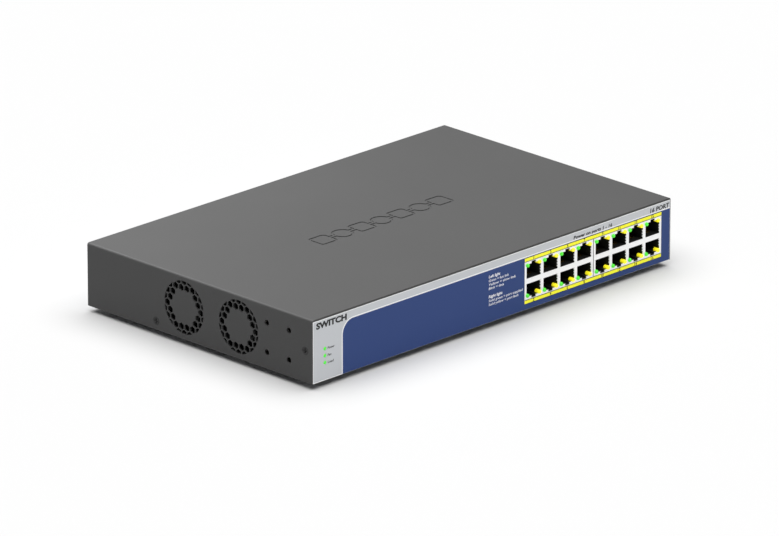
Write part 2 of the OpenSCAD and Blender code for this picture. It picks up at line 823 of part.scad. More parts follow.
// Frame of a fan: square housing with a round duct and four struts to the motor plate
module fan_frame(y) {
    color([0.06, 0.06, 0.06]) translate([fan_left, y, fan_z]) rotate([0, 90, 0]) difference() {
        union() {
            difference() {
                along_z(0, fan_t) round_rect([-fan_size / 2, -fan_size / 2], [fan_size / 2, fan_size / 2], 3);
                translate([0, 0, -1]) cylinder(h = fan_t + 2, r = duct_r);
            }
            translate([0, 0, fan_t - 2]) cylinder(h = 2, r = hub_r);
            for (a = [45:90:315]) rotate(a) translate([hub_r - 1, -1, fan_t - 2])
                cube([duct_r - hub_r + 1.5, 2, 2]);
            translate([0, 0, 5]) cylinder(h = fan_t - 5, r = 3.2);
        }
        translate([0, 0, -1]) cylinder(h = fan_t + 2, r = 2.2);
        for (c = fan_corners) translate([c[0], c[1], -1]) cylinder(h = fan_t + 2, r = 1.55);
    }
}
module fan_frame_front() { fan_frame(fan_y[0]); }
module fan_frame_rear() { fan_frame(fan_y[1]); }

// Rotor of a fan: a cup over the motor, with slanted blades round it
cup_h = fan_t - 3.4;
module fan_blade() {
    intersection() {
        translate([hub_r - 0.5, 0, cup_h / 2]) rotate([38, 0, 0])
            translate([0, -0.6, -14]) cube([blade_r, 1.2, 28]);
        difference() {
            translate([0, 0, 1]) cylinder(h = cup_h - 1.5, r = blade_r);
            cylinder(h = cup_h + 2, r = hub_r - 0.4);
        }
    }
}
module fan_rotor(y) {
    color([0.1, 0.1, 0.1]) translate([fan_left + 0.8, y, fan_z]) rotate([0, 90, 0]) {
        difference() {
            cylinder(h = cup_h, r = hub_r);
            translate([0, 0, 1.6]) cylinder(h = cup_h, r = cup_r);
            translate([0, 0, -1]) cylinder(h = 5, r = shaft_r);
        }
        for (i = [0:blade_count - 1]) rotate(360 * i / blade_count) fan_blade();
    }
}
module fan_rotor_front() { fan_rotor(fan_y[0]); }
module fan_rotor_rear() { fan_rotor(fan_y[1]); }

module fan_shaft(y) {
    color([0.8, 0.8, 0.8]) translate([fan_left + 0.8, y, fan_z]) rotate([0, 90, 0])
        cylinder(h = fan_t - 2.3, r = shaft_r);
}
module fan_shaft_front() { fan_shaft(fan_y[0]); }
module fan_shaft_rear() { fan_shaft(fan_y[1]); }

module fan_bearings() {
    color([0.75, 0.55, 0.2]) for (y = fan_y) translate([fan_left, y, fan_z]) rotate([0, 90, 0]) difference() {
        translate([0, 0, 5]) cylinder(h = fan_t - 5.5, r = 2.2);
        translate([0, 0, 4]) cylinder(h = fan_t, r = shaft_r + bearing_gap);
    }
}

// Motor coils on the frame's plate, inside the rotor's cup
module fan_motors() {
    color([0.7, 0.35, 0.15]) for (y = fan_y) translate([fan_left, y, fan_z]) rotate([0, 90, 0]) {
        difference() {
            translate([0, 0, 8]) cylinder(h = 6, r = 5.5);
            translate([0, 0, 7]) cylinder(h = 8, r = 3.25);
        }
        for (a = [0:90:270]) rotate(a) difference() {
            intersection() {
                translate([5, -2.5, 8.5]) cube([5, 5, 5]);
                translate([0, 0, 8]) cylinder(h = 6, r = cup_r - 0.6);
            }
            translate([0, 0, 7]) cylinder(h = 8, r = 5.4);
        }
    }
}

// ---- every piece ----

top_cover();
base_tray();
front_label();
rubber_feet();
cover_screws();
bracket_nuts();
jack_shield_left();
jack_shield_right();
jack_housing_left();
jack_housing_right();
jack_contacts_left();
jack_contacts_right();
port_leds_green();
port_leds_yellow();
main_board();
lan_transformers();
switch_chip();
switch_heatsink();
poe_chips();
poe_heatsinks();
power_inductors();
board_capacitors();
memory_chips();
board_headers();
board_standoffs();
board_screws();
status_board();
status_leds();
status_cable();
psu_board();
psu_insulator();
psu_transformer_core();
psu_transformer_coil();
psu_bulk_capacitors();
psu_primary_heatsink();
psu_secondary_heatsink();
psu_transistors();
psu_line_choke();
psu_film_capacitor();
psu_fuse();
psu_output_capacitors();
psu_connectors();
inlet_socket();
inlet_pins();
inlet_screws();
inlet_wires();
dc_cable();
fan_bracket();
bracket_screws();
fan_screws();
fan_frame_front();
fan_frame_rear();
fan_rotor_front();
fan_rotor_rear();
fan_shaft_front();
fan_shaft_rear();
fan_bearings();
fan_motors();
fan_cables();
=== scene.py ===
"""Desktop network switch: finishes, prints, lights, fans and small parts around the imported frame."""
import math

import bmesh
import bpy
import numpy as np
from bpy.props import FloatProperty, FloatVectorProperty, IntProperty, PointerProperty
from bpy.types import Operator, Panel, PropertyGroup
from mathutils import Matrix, Vector


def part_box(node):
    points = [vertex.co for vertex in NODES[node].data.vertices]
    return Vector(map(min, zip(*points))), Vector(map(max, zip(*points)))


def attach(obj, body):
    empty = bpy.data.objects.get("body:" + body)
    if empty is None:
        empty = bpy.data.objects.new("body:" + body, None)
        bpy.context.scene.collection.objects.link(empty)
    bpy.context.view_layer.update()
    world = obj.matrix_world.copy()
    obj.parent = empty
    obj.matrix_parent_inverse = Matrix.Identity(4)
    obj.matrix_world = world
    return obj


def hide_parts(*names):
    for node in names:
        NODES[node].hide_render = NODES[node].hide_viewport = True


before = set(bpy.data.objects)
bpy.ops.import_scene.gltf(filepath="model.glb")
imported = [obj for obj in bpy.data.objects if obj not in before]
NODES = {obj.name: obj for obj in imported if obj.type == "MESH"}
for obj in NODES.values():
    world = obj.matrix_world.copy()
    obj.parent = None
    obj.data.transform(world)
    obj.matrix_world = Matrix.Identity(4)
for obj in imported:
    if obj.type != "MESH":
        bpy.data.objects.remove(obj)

bl_info = {
    "name": "Desktop Network Switch",
    "version": (1, 0, 0),
    "blender": (4, 5, 0),
    "location": "View3D > Sidebar > Switch",
    "description": "Finishes and fine pieces of a sixteen socket desktop network switch",
    "category": "Object",
}

MM = 0.001
CHASSIS = "chassis"
BODY_LOW, BODY_HIGH = (np.array(c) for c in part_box("top_cover"))
LEFT, FRONT, UNDER = BODY_LOW
RIGHT, REAR, TOP = BODY_HIGH


# ---- shapes: each is (points, faces), in metres ----

def grid_faces(rows, columns, wrap_rows=False, wrap_columns=False, start=0):
    """Corner numbers of every cell of a grid that is numbered row by row."""
    row = np.arange(rows if wrap_rows else rows - 1)[:, None]
    column = np.arange(columns if wrap_columns else columns - 1)[None, :]
    below, beside = (row + 1) % rows, (column + 1) % columns
    cells = np.stack([row * columns + column, row * columns + beside,
                      below * columns + beside, below * columns + column], -1)
    return (cells.reshape(-1, 4) + start).tolist()


def joined(shapes):
    """One shape of several: points one after another, corner numbers moved up to match."""
    points, faces, start = [], [], 0
    for shape_points, shape_faces in shapes:
        points.append(shape_points)
        faces += [[corner + start for corner in face] for face in shape_faces]
        start += len(shape_points)
    return np.concatenate(points), faces


def closed_tube(rings):
    """Skin over rings of points, each ring closed on itself, with a flat lid on the first and the last."""
    rows, columns = rings.shape[:2]
    faces = grid_faces(rows, columns, wrap_columns=True)
    faces += [list(range(columns)), list(range((rows - 1) * columns, rows * columns))]
    return rings.reshape(-1, 3), faces


def turned(profile, sides):
    """Rings about Z: point (i, a) is (r_i cos a, r_i sin a, h_i), of a profile of radii r and heights h."""
    angle = np.arange(sides) * 2 * np.pi / sides
    radius, height = profile[:, 0, None], profile[:, 1, None]
    return np.stack([radius * np.cos(angle), radius * np.sin(angle), height + 0 * angle], -1)


def revolve(profile, sides):
    """Turned skin (r_i cos a, r_i sin a, h_i) of a profile in mm whose ends lie on the axis, as poles."""
    profile = np.asarray(profile, float) * MM
    rings = turned(profile[1:-1], sides)
    points = np.concatenate([rings.reshape(-1, 3), [[0, 0, profile[0, 1]], [0, 0, profile[-1, 1]]]])
    rows = len(rings)
    pole, last = rows * sides, (rows - 1) * sides
    around = np.arange(sides)
    beside = (around + 1) % sides
    fans = [np.stack([around * 0 + pole, beside, around], -1),
            np.stack([around * 0 + pole + 1, around + last, beside + last], -1)]
    return points, grid_faces(rows, sides, wrap_columns=True) + np.concatenate(fans).tolist()


def revolve_bored(profile, sides):
    """Turned skin (r_i cos a, r_i sin a, h_i) of a profile in mm that closes on itself round a bore."""
    rings = turned(np.asarray(profile, float) * MM, sides)
    return rings.reshape(-1, 3), grid_faces(len(profile), sides, True, True)


AXES = {
    "+x": np.array([[0, 0, 1], [1, 0, 0], [0, 1, 0]]),
    "-x": np.array([[0, 0, -1], [1, 0, 0], [0, -1, 0]]),
    "+y": np.array([[1, 0, 0], [0, 0, 1], [0, -1, 0]]),
    "-y": np.array([[1, 0, 0], [0, 0, -1], [0, 1, 0]]),
    "+z": np.eye(3),
}


def placed(shape, origin, axis="+z"):
    """The shape with its own Z turned to the named axis and its own origin moved to the given point."""
    points, faces = shape
    return points @ AXES[axis].T + np.asarray(origin, float), faces


def sweep(path, outward, radius, sides):
    """Ring around each point of a path: centre + radius (cos b n + sin b m), where n is square to the path
    and nearest to outward, and m lies across both."""
    along = np.gradient(path, axis=0)
    along /= np.linalg.norm(along, axis=1, keepdims=True)
    normal = outward - (outward * along).sum(1, keepdims=True) * along
    normal /= np.linalg.norm(normal, axis=1, keepdims=True)
    across = np.cross(along, normal)
    turn = (np.arange(sides) * 2 * np.pi / sides)[None, :, None]
    spoke = np.cos(turn) * normal[:, None] + np.sin(turn) * across[:, None]
    return closed_tube(path[:, None] + radius * spoke)


def sheet_between(first, second, low, high, closed):
    """Thin slab on the front: point (u, v) = (1 - v) first(u) + v second(u) in X and Z, and Y runs from the
    low depth to the high one."""
    count = len(first)
    loops = [np.insert(curve, 1, depth, axis=1) for curve, depth in
             ((first, low), (second, low), (second, high), (first, high))]
    points = np.stack(loops, 1).reshape(-1, 3)
    faces = grid_faces(count, 4, wrap_rows=closed, wrap_columns=True)
    if not closed:
        faces += [[0, 1, 2, 3], [4 * count - 4 + k for k in range(4)]]
    return points, faces


def ray_hits(outline, centre, angles):
    """Where rays from the centre at these angles cross a convex outline, from each side's line equation."""
    ray = np.stack([np.cos(angles), np.sin(angles)], -1)[:, None]
    start = (outline - centre)[None]
    side = (np.roll(outline, -1, axis=0) - outline)[None]
    cross = ray[..., 0] * side[..., 1] - ray[..., 1] * side[..., 0]
    cross = np.where(np.abs(cross) < 1e-15, 1e-15, cross)
    reach = (start[..., 0] * side[..., 1] - start[..., 1] * side[..., 0]) / cross
    share = (start[..., 0] * ray[..., 1] - start[..., 1] * ray[..., 0]) / cross
    good = (share > -1e-6) & (share < 1 + 1e-6) & (reach > 0)
    reach = np.where(good, reach, np.inf).min(1)
    return centre + reach[:, None] * ray[:, 0]


def frame_between(outer, inner, low, high):
    """Slab between two convex outlines. The same rays, centre + t (cos a, sin a), cut both, and they pass
    through every corner."""
    centre = (inner.min(0) + inner.max(0)) / 2
    angles = [np.arctan2(*(curve - centre).T[::-1]) for curve in (outer, inner)]
    angles = np.unique(np.round(np.concatenate(angles), 9))
    return sheet_between(ray_hits(outer, centre, angles), ray_hits(inner, centre, angles), low, high, True)


def rectangle(x0, x1, z0, z1):
    return np.array([[x0, z0], [x1, z0], [x1, z1], [x0, z1]])


def quarter(x, z, radius, start, count=12):
    """Points (x + r cos a, z + r sin a) over a quarter turn from the start angle, in degrees."""
    turn = np.radians(start + np.linspace(0, 90, count))
    return np.stack([x + radius * np.cos(turn), z + radius * np.sin(turn)], -1)


def islands(node):
    """Lowest and highest corner of each separate solid of a CAD node. Points joined by edges get one label,
    the least of theirs."""
    mesh = NODES[node].data
    points = np.zeros(len(mesh.vertices) * 3, np.float32)
    mesh.vertices.foreach_get("co", points)
    points = points.reshape(-1, 3)
    edges = np.zeros(len(mesh.edges) * 2, np.int32)
    mesh.edges.foreach_get("vertices", edges)
    merged, home = np.unique(np.round(points, 6), axis=0, return_inverse=True)
    home = home.reshape(-1)
    first, second = home[edges.reshape(-1, 2)].T
    label = np.arange(len(merged))
    while True:
        before = label.copy()
        least = np.minimum(label[first], label[second])
        np.minimum.at(label, first, least)
        np.minimum.at(label, second, least)
        label = label[label]
        if (label == before).all():
            break
    return [(merged[label == one].min(0).astype(float), merged[label == one].max(0).astype(float))
            for one in np.unique(label)]


def upright(node):
    """Radius and height in mm, and the foot, of each solid of a node of upright cylinders."""
    for low, high in islands(node):
        middle = (low + high) / 2
        yield (high[0] - low[0]) / 2 / MM, (high[2] - low[2]) / MM, (middle[0], middle[1], low[2])


def build(name, shape, material, body=CHASSIS, stands_for=(), sharp=35.0, second=None,
          second_rows=()):
    """Puts one shape into a mesh object that rides on a CAD body. Faces marked 1 in second_rows take the
    second material."""
    points, faces = shape
    mesh = bpy.data.meshes.new(name)
    mesh.from_pydata(points.tolist(), [], faces)
    mesh.materials.append(material)
    if second is not None:
        mesh.materials.append(second)
        mesh.polygons.foreach_set("material_index", second_rows)
    work = bmesh.new()
    work.from_mesh(mesh)
    bmesh.ops.recalc_face_normals(work, faces=work.faces)
    work.to_mesh(mesh)
    work.free()
    mesh.polygons.foreach_set("use_smooth", np.ones(len(mesh.polygons), bool))
    mesh.set_sharp_from_angle(angle=math.radians(sharp))
    mesh.update()
    piece = bpy.data.objects.new(name, mesh)
    bpy.context.scene.collection.objects.link(piece)
    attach(piece, body)
    if stands_for:
        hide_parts(*stands_for)
    return piece


# ---- node groups: colour, roughness and height that vary over a surface ----

class Wiring:
    """Adds nodes to a tree, one after another, and wires or sets their inputs."""

    def __init__(self, tree):
        self.tree = tree

    def add(self, kind, inputs=None, **settings):
        node = self.tree.nodes.new(kind)
        node.location = (200 * (len(self.tree.nodes) % 9), -220 * (len(self.tree.nodes) // 9))
        for key, value in settings.items():
            setattr(node, key, value)
        for key, value in (inputs or {}).items():
            if isinstance(value, bpy.types.NodeSocket):
                self.tree.links.new(value, node.inputs[key])
            else:
                node.inputs[key].default_value = value
        return node

    def math(self, operation, *values):
        return self.add("ShaderNodeMath", dict(enumerate(values)), operation=operation).outputs[0]

    def vector(self, operation, *values, out=0):
        node = self.add("ShaderNodeVectorMath", dict(enumerate(values)), operation=operation)
        return node.outputs[out]

    def blend(self, share, first, second):
        node = self.add("ShaderNodeMix", {0: share, 6: first, 7: second}, data_type="RGBA")
        return node.outputs[2]

    def spread(self, value, low, high):
        return self.add("ShaderNodeMapRange", {0: value, 1: low, 2: high, 3: 0.0, 4: 1.0}).outputs[0]

    def place(self):
        return self.add("ShaderNodeTexCoord").outputs["Object"]

    def noise(self, place, size, detail):
        """Noise with features of about the given size."""
        scale = self.math("DIVIDE", 1.0, size)
        return self.add("ShaderNodeTexNoise", {"Vector": place, "Scale": scale, "Detail": detail}).outputs[0]


KINDS = {"Color": "NodeSocketColor", "Vector": "NodeSocketVector", "Float": "NodeSocketFloat"}


def new_group(name, inputs):
    """Empty group with named inputs, and the outputs Colour, Roughness and Height."""
    tree = bpy.data.node_groups.new(name, "ShaderNodeTree")
    for label, kind in inputs:
        tree.interface.new_socket(name=label, in_out="INPUT", socket_type=KINDS[kind])
    for label, kind in (("Colour", "Color"), ("Roughness", "Float"), ("Height", "Float")):
        tree.interface.new_socket(name=label, in_out="OUTPUT", socket_type=KINDS[kind])
    wiring = Wiring(tree)
    return wiring, wiring.add("NodeGroupInput").outputs


def close_group(wiring, colour, roughness, height):
    wiring.add("NodeGroupOutput", {"Colour": colour, "Roughness": roughness, "Height": height})
    return wiring.tree


def uneven(wiring, given, noise):
    """Roughness + (noise - 0.5) * Roughness spread."""
    swing = wiring.math("MULTIPLY", wiring.math("SUBTRACT", noise, 0.5), given["Roughness spread"])
    return wiring.math("ADD", given["Roughness"], swing)


def grain_group():
    """Fine pebbled grain with a broad, faint cloud over it, for paint, moulded plastic, rubber and ink."""
    wiring, given = new_group("Pebbled grain", [
        ("Colour", "Color"), ("Fleck", "Color"), ("Grain size", "Float"), ("Contrast", "Float"),
        ("Cloud size", "Float"), ("Cloud", "Float"), ("Roughness", "Float"), ("Roughness spread", "Float")])
    place = wiring.place()
    fine = wiring.noise(place, given["Grain size"], 3.0)
    cloud = wiring.noise(place, given["Cloud size"], 2.0)
    fleck = wiring.spread(fine, 0.35, 0.7)
    mist = wiring.math("MULTIPLY", wiring.spread(cloud, 0.3, 0.7), given["Cloud"])
    colour = wiring.blend(wiring.math("MULTIPLY", fleck, given["Contrast"]), given["Colour"], given["Fleck"])
    colour = wiring.blend(mist, colour, given["Fleck"])
    return close_group(wiring, colour, uneven(wiring, given, fine), fine)


def brushed_group():
    """Fine lines along one direction: noise on coordinates squeezed across the lines."""
    wiring, given = new_group("Brushed lines", [
        ("Colour", "Color"), ("Shade", "Color"), ("Line size", "Float"), ("Squeeze", "Vector"),
        ("Contrast", "Float"), ("Roughness", "Float"), ("Roughness spread", "Float")])
    place = wiring.vector("MULTIPLY", wiring.place(), given["Squeeze"])
    lines = wiring.noise(place, given["Line size"], 4.0)
    share = wiring.math("MULTIPLY", wiring.spread(lines, 0.3, 0.75), given["Contrast"])
    return close_group(wiring, wiring.blend(share, given["Colour"], given["Shade"]),
                       uneven(wiring, given, lines), lines)


def winding_group():
    """Turns side by side: height is the sine of the place along the axis over the pitch, and the colour runs
    to Shade in the troughs between turns, which is painted shade.
    """
    wiring, given = new_group("Wound turns", [
        ("Colour", "Color"), ("Shade", "Color"), ("Axis", "Vector"), ("Pitch", "Float"),
        ("Roughness", "Float"), ("Roughness spread", "Float")])
    place = wiring.place()
    along = wiring.vector("DOT_PRODUCT", place, given["Axis"], out=1)
    phase = wiring.math("MULTIPLY", wiring.math("DIVIDE", along, given["Pitch"]), 2 * math.pi)
    wave = wiring.math("MULTIPLY_ADD", wiring.math("SINE", phase), 0.5, 0.5)
    drift = wiring.add("ShaderNodeTexNoise", {"Vector": place, "Scale": 900.0, "Detail": 2.0}).outputs[0]
    height = wiring.math("MULTIPLY_ADD", drift, 0.15, wave)
    # darker colour in the grooves between turns: painted shade
    return close_group(wiring, wiring.blend(wave, given["Shade"], given["Colour"]),
                       uneven(wiring, given, drift), height)


def tracks_group():
    """Board with tracks in runs along X or along Y by chance cell, and tinned dots where cells meet."""
    wiring, given = new_group("Board tracks", [
        ("Colour", "Color"), ("Track", "Color"), ("Pad", "Color"), ("Pitch", "Float"),
        ("Roughness", "Float")])
    place = wiring.place()
    cell = wiring.math("MULTIPLY", given["Pitch"], 7.0)
    cells = wiring.add("ShaderNodeCombineXYZ", {0: cell, 1: cell, 2: cell}).outputs[0]
    corner = wiring.vector("SNAP", place, cells)
    chance = wiring.add("ShaderNodeTexWhiteNoise", {"Vector": corner}).outputs["Value"]
    parts = wiring.add("ShaderNodeSeparateXYZ", {0: place}).outputs
    stripes = [wiring.math("FRACT", wiring.math("DIVIDE", parts[k], given["Pitch"])) for k in (0, 1)]
    along_y = wiring.math("GREATER_THAN", chance, 0.5)
    stripe = wiring.math("ADD", wiring.math("MULTIPLY", stripes[0], along_y),
                         wiring.math("MULTIPLY", stripes[1], wiring.math("SUBTRACT", 1.0, along_y)))
    busy = wiring.math("GREATER_THAN", wiring.math("FRACT", wiring.math("MULTIPLY", chance, 7.3)), 0.35)
    track = wiring.math("MULTIPLY", wiring.math("LESS_THAN", stripe, 0.4), busy)
    dot_scale = wiring.math("DIVIDE", 0.22, given["Pitch"])
    dots = wiring.add("ShaderNodeTexVoronoi", {"Vector": place, "Scale": dot_scale},
                      feature="F1").outputs["Distance"]
    pad = wiring.math("LESS_THAN", dots, 0.13)
    colour = wiring.blend(pad, wiring.blend(track, given["Colour"], given["Track"]), given["Pad"])
    height = wiring.math("ADD", wiring.math("MULTIPLY", track, 0.5), pad)
    return close_group(wiring, colour, wiring.math("MULTIPLY_ADD", pad, -0.1, given["Roughness"]), height)


def grey(level):
    return (level, level, level)


SATIN = {"Specular IOR Level": 0.3}
GROUPS, MATERIALS = {}, {}
FINISH_KINDS = {"grain": grain_group, "brushed": brushed_group,
                "wound": winding_group, "tracks": tracks_group}
GRAIN_DEFAULTS = {"Grain size": 0.4 * MM, "Contrast": 0.35, "Cloud size": 60 * MM, "Cloud": 0.15,
                  "Roughness": 0.5, "Roughness spread": 0.15}
BRUSHED_DEFAULTS = {"Line size": 0.3 * MM, "Squeeze": (0.03, 1.0, 1.0), "Contrast": 0.5,
                    "Roughness": 0.35, "Roughness spread": 0.15}


def fill(inputs, values):
    """Sets inputs by name. A colour gets its fourth number here."""
    for key, value in values.items():
        inputs[key].default_value = (*value, 1.0) if inputs[key].type == "RGBA" else value


def finish(name, kind, values, shader, bump=(0.2, 0.03)):
    """Material whose colour, roughness and relief come from one node group, with constants on the shader.
    The bump is (strength, distance in mm)."""
    if name in MATERIALS:
        return MATERIALS[name]
    if kind not in GROUPS:
        GROUPS[kind] = FINISH_KINDS[kind]()
    material = bpy.data.materials.new(name)
    material.use_nodes = True
    wiring = Wiring(material.node_tree)
    principled = material.node_tree.nodes["Principled BSDF"]
    group = wiring.add("ShaderNodeGroup", node_tree=GROUPS[kind])
    defaults = {"grain": GRAIN_DEFAULTS, "brushed": BRUSHED_DEFAULTS}.get(kind, {})
    fill(group.inputs, {**defaults, **values})
    fill(principled.inputs, shader)
    relief = wiring.add("ShaderNodeBump", {
        "Strength": bump[0], "Distance": bump[1] * MM, "Height": group.outputs["Height"]})
    links = material.node_tree.links
    links.new(group.outputs["Colour"], principled.inputs["Base Color"])
    links.new(group.outputs["Roughness"], principled.inputs["Roughness"])
    links.new(relief.outputs[0], principled.inputs["Normal"])
    MATERIALS[name] = material
    return material


def labelled(values):
    """The values under the labels of the node groups' inputs."""
    return {key.replace("_", " ").capitalize(): value for key, value in values.items()}


def grain(name, colour, fleck, shader=None, bump=(0.2, 0.03), **values):
    inks = {"Colour": colour, "Fleck": fleck, **labelled(values)}
    return finish(name, "grain", inks, shader or {}, bump)


def brushed(name, colour, shade, shader=None, bump=(0.1, 0.01), **values):
    inks = {"Colour": colour, "Shade": shade, **labelled(values)}
    return finish(name, "brushed", inks, {"Metallic": 1.0, **(shader or {})}, bump)


def paint(material, *nodes):
    """Gives the material to every slot of these CAD nodes."""
    for node in nodes:
        for place in NODES[node].material_slots:
            place.material = material


# ---- sizes and colours that a user may change ----

def number(name, text, default, low=0.0, high=100.0, **more):
    return FloatProperty(name=name, description=text, default=default, min=low, max=high, **more)


def length(name, text, default, low=0.0, high=1.0):
    return number(name, text, default * MM, low * MM, high, unit="LENGTH")


def tint(name, text, default):
    return FloatVectorProperty(name=name, description=text, default=default, size=3, min=0.0, max=1.0,
                               subtype="COLOR")


def share(name, text, default, high=1.0):
    return number(name, text, default, high=high, subtype="FACTOR")


class BodySettings(PropertyGroup):
    paint: tint("Cover paint", "Colour of the powder coat on the cover", grey(0.0535))
    paint_fleck: tint("Paint fleck", "Colour of the raised grains of the powder coat", grey(0.069))
    paint_grain: length("Paint grain", "Size of one grain of the powder coat", 0.45, 0.1)
    paint_rough: share("Paint roughness", "Roughness of the powder coat", 0.62)
    steel: tint("Tray steel", "Colour of the zinc plated tray", (0.60, 0.61, 0.63))
    recess: length("Screw recess depth", "Depth of the cross in each screw head", 0.9, 0.1)
    recess_arm: length("Screw recess arm", "Half the width of an arm of the cross", 0.45, 0.1)


class FrontSettings(PropertyGroup):
    film: tint("Film", "Colour of the silver film", (0.525, 0.540, 0.562))
    field: tint("Field", "Colour of the large printed field", (0.0155, 0.0455, 0.180))
    strip: tint("Number strips", "Colour of the strips with the socket numbers", (1.0, 0.98, 0.03))
    ink: tint("Dark ink", "Colour of the dark lettering", grey(0.008))
    pale: tint("Pale ink", "Colour of the pale lines and lettering", grey(0.86))
    layer: length("Ink thickness", "Thickness of one layer of ink", 0.02, 0.005)
    field_left: length("Field left edge", "Left edge of the field, from the body's left side", 27.0)
    field_top: length("Field top edge", "Top edge of the field, above the body's underside", 36.0)
    field_corner: length("Field corner", "Radius of the field's upper left corner", 9.5)
    outline: length("Field outline", "Width of the pale line round the field", 0.8, 0.1)
    # the pale line along the film's edge is a painted highlight of the edge, not print
    margin: length("Film margin", "Width of the pale line along the film's edge", 0.5, 0.1)
    strip_side: length("Strip overhang", "How far the strips reach past the sockets on each side", 0.0)
    strip_height: length("Strip height", "Height of a strip with socket numbers", 2.75, 0.5)
    strip_gap: length("Strip gap", "Gap between a strip and the window of the sockets", 0.06)
    rule: length("Rule width", "Width of the dark rule along a strip", 0.28, 0.05)
    numbers: length("Number height", "Height of the socket numbers", 1.95, 0.5)


class SocketSettings(PropertyGroup):
    shield: tint("Shield", "Colour of the metal shields", (0.93, 0.93, 0.93))
    plastic: tint("Housing", "Colour of the moulded housings", grey(0.012))
    left_light: tint("Left light", "Colour of the light at the left of each socket", (0.05, 0.60, 0.02))
    right_light: tint("Right light", "Colour of the light at the right of each socket", (1.0, 0.88, 0.02))
    status_light: tint("Status light", "Colour of the status lights", (0.05, 0.60, 0.02))
    glow: number("Glow", "How strongly the lights shine", 0.55, high=20.0)
    dome: length("Light dome", "How far a light's tip stands out of its bore", 1.3)
    pitch: length("Socket pitch", "Distance between neighbouring sockets", 15.75, 12.0)
    opening: length("Opening width", "Width of a socket's opening", 13.2, 8.0)
    middle_band: length("Middle band", "Half the height of the band between the rows", 1.8)
    tongue_width: length("Tongue width", "Width of a spring tongue of the shield", 1.1, 0.2)
    tongue_rise: length("Tongue rise", "How far a spring tongue stands into the opening", 0.4)
    tongue_length: length("Tongue length", "How far a spring tongue reaches into the socket", 1.0, 0.5)


class FanSettings(PropertyGroup):
    blades: IntProperty(name="Blades", description="Number of blades on a rotor", default=7, min=3, max=11)
    hub: length("Hub radius", "Outer radius of the rotor's cup", 11.5, 5.0)
    tip: length("Tip radius", "Radius of the blades' tips", 18.4, 10.0)
    root_chord: length("Root chord", "Width of a blade at the hub", 12.5, 3.0)
    tip_chord: length("Tip chord", "Width of a blade at its tip", 16.0, 3.0)
    thickness: length("Blade thickness", "Greatest thickness of a blade", 1.3, 0.3)
    plastic: tint("Fan plastic", "Colour of the moulded fan", grey(0.012))


class InsideSettings(PropertyGroup):
    mask: tint("Solder mask", "Colour of the main board", (0.010, 0.085, 0.030))
    track: tint("Tracks", "Colour of the copper tracks under the mask", (0.030, 0.170, 0.060))
    copper: tint("Copper wire", "Colour of the enamelled winding wire", (0.70, 0.25, 0.08))
    turns: IntProperty(name="Choke turns", description="Turns of wire in each half of the line choke",
                       default=13, min=4, max=30)
    wire: length("Winding wire", "Radius of the line choke's wire", 0.42, 0.1)


class StageSettings(PropertyGroup):
    floor: tint("Floor", "Colour of the pale floor", grey(0.595))
    overhead: number("Overhead light", "Strength of the wide light above", 5.2, high=50.0)
    front: number("Front light", "Strength of the light on the sockets' side", 0.6, high=50.0)
    side: number("Side light", "Power of the panel of light behind the left corner", 3.0, unit="POWER")
    surround: number("Surround", "Strength of the even light from all round", 0.02, high=5.0)
    azimuth: FloatProperty(name="Azimuth", description="Side that the camera looks from",
                           default=math.radians(-45.09), subtype="ANGLE")
    elevation: FloatProperty(name="Elevation", description="Height of the camera above the horizon",
                             default=math.radians(19.93), subtype="ANGLE")
    distance: number("Distance", "Distance of the camera from the body", 6.0265, 0.5, 30.0, unit="LENGTH")
    lens: number("Lens", "Focal length on a 36 mm sensor", 427.5, 50.0, 2000.0)


GROUP_PROPERTIES = {
    "switch_body": BodySettings,
    "switch_front": FrontSettings,
    "switch_sockets": SocketSettings,
    "switch_fans": FanSettings,
    "switch_inside": InsideSettings,
    "switch_stage": StageSettings,
}


# ---- body ----

class PaintBody(Operator):
    """Powder coat on the cover, and bare plated steel on the tray and its small fittings"""
    bl_idname = "switch.paint_body"
    bl_label = "Paint the body"

    def execute(self, context):
        wanted = context.scene.switch_body
        coat = grain("Powder coat", tuple(wanted.paint), tuple(wanted.paint_fleck),
                     {"Specular IOR Level": 0.25}, (0.35, 0.06), grain_size=wanted.paint_grain,
                     contrast=0.6, cloud=0.25, cloud_size=90 * MM, roughness=wanted.paint_rough,
                     roughness_spread=0.25)
        tray = brushed("Zinc plated sheet", tuple(wanted.steel), (0.42, 0.43, 0.45), line_size=0.5 * MM,
                       roughness=0.38, contrast=0.6)
        plated = brushed("Plated fastener", (0.68, 0.67, 0.64), (0.48, 0.47, 0.45), line_size=0.2 * MM,
                         squeeze=(1.0, 1.0, 0.2), roughness=0.3)
        paint(coat, "top_cover")
        paint(tray, "base_tray")
        paint(plated, "bracket_nuts", "board_standoffs", "board_screws", "fan_bracket", "bracket_screws")
        return {"FINISHED"}


def cross_head(radius, depth, arm, sides=64, rings=15):
    """Screw head as a polar grid: height(r, a) is minus depth inside the cross |x| or |y| < arm, eased at
    its rim and shallower towards the ends of its arms. Cone and shank hang below on the same columns."""
    fall, cone, shank, tip = -0.06 * MM, -1.2 * MM, -5.8 * MM, -6.0 * MM
    angle = np.arange(sides) * 2 * np.pi / sides
    spread = np.linspace(0.04, 1.0, rings)[:, None] * radius
    x, y = spread * np.cos(angle), spread * np.sin(angle)

    def eased(value, edge, soft):
        t = np.clip((edge + soft - value) / (2 * soft), 0, 1)
        return t * t * (3 - 2 * t)

    inside = eased(np.minimum(np.abs(x), np.abs(y)), arm, 0.12 * MM)
    reach = eased(spread + 0 * angle, 0.62 * radius, 0.16 * MM)
    height = -depth * (1 - 0.45 * spread / radius) * inside * reach
    height += fall * (spread / radius) ** 6
    face = np.stack([x, y, height], -1)
    below = np.array([[radius, fall], [0.5 * radius, cone], [0.5 * radius, shank], [0.4 * radius, tip]])
    return closed_tube(np.concatenate([face, turned(below, sides)]))


LEAST_SCREW = 3 * MM       # a solid thinner than this is no screw


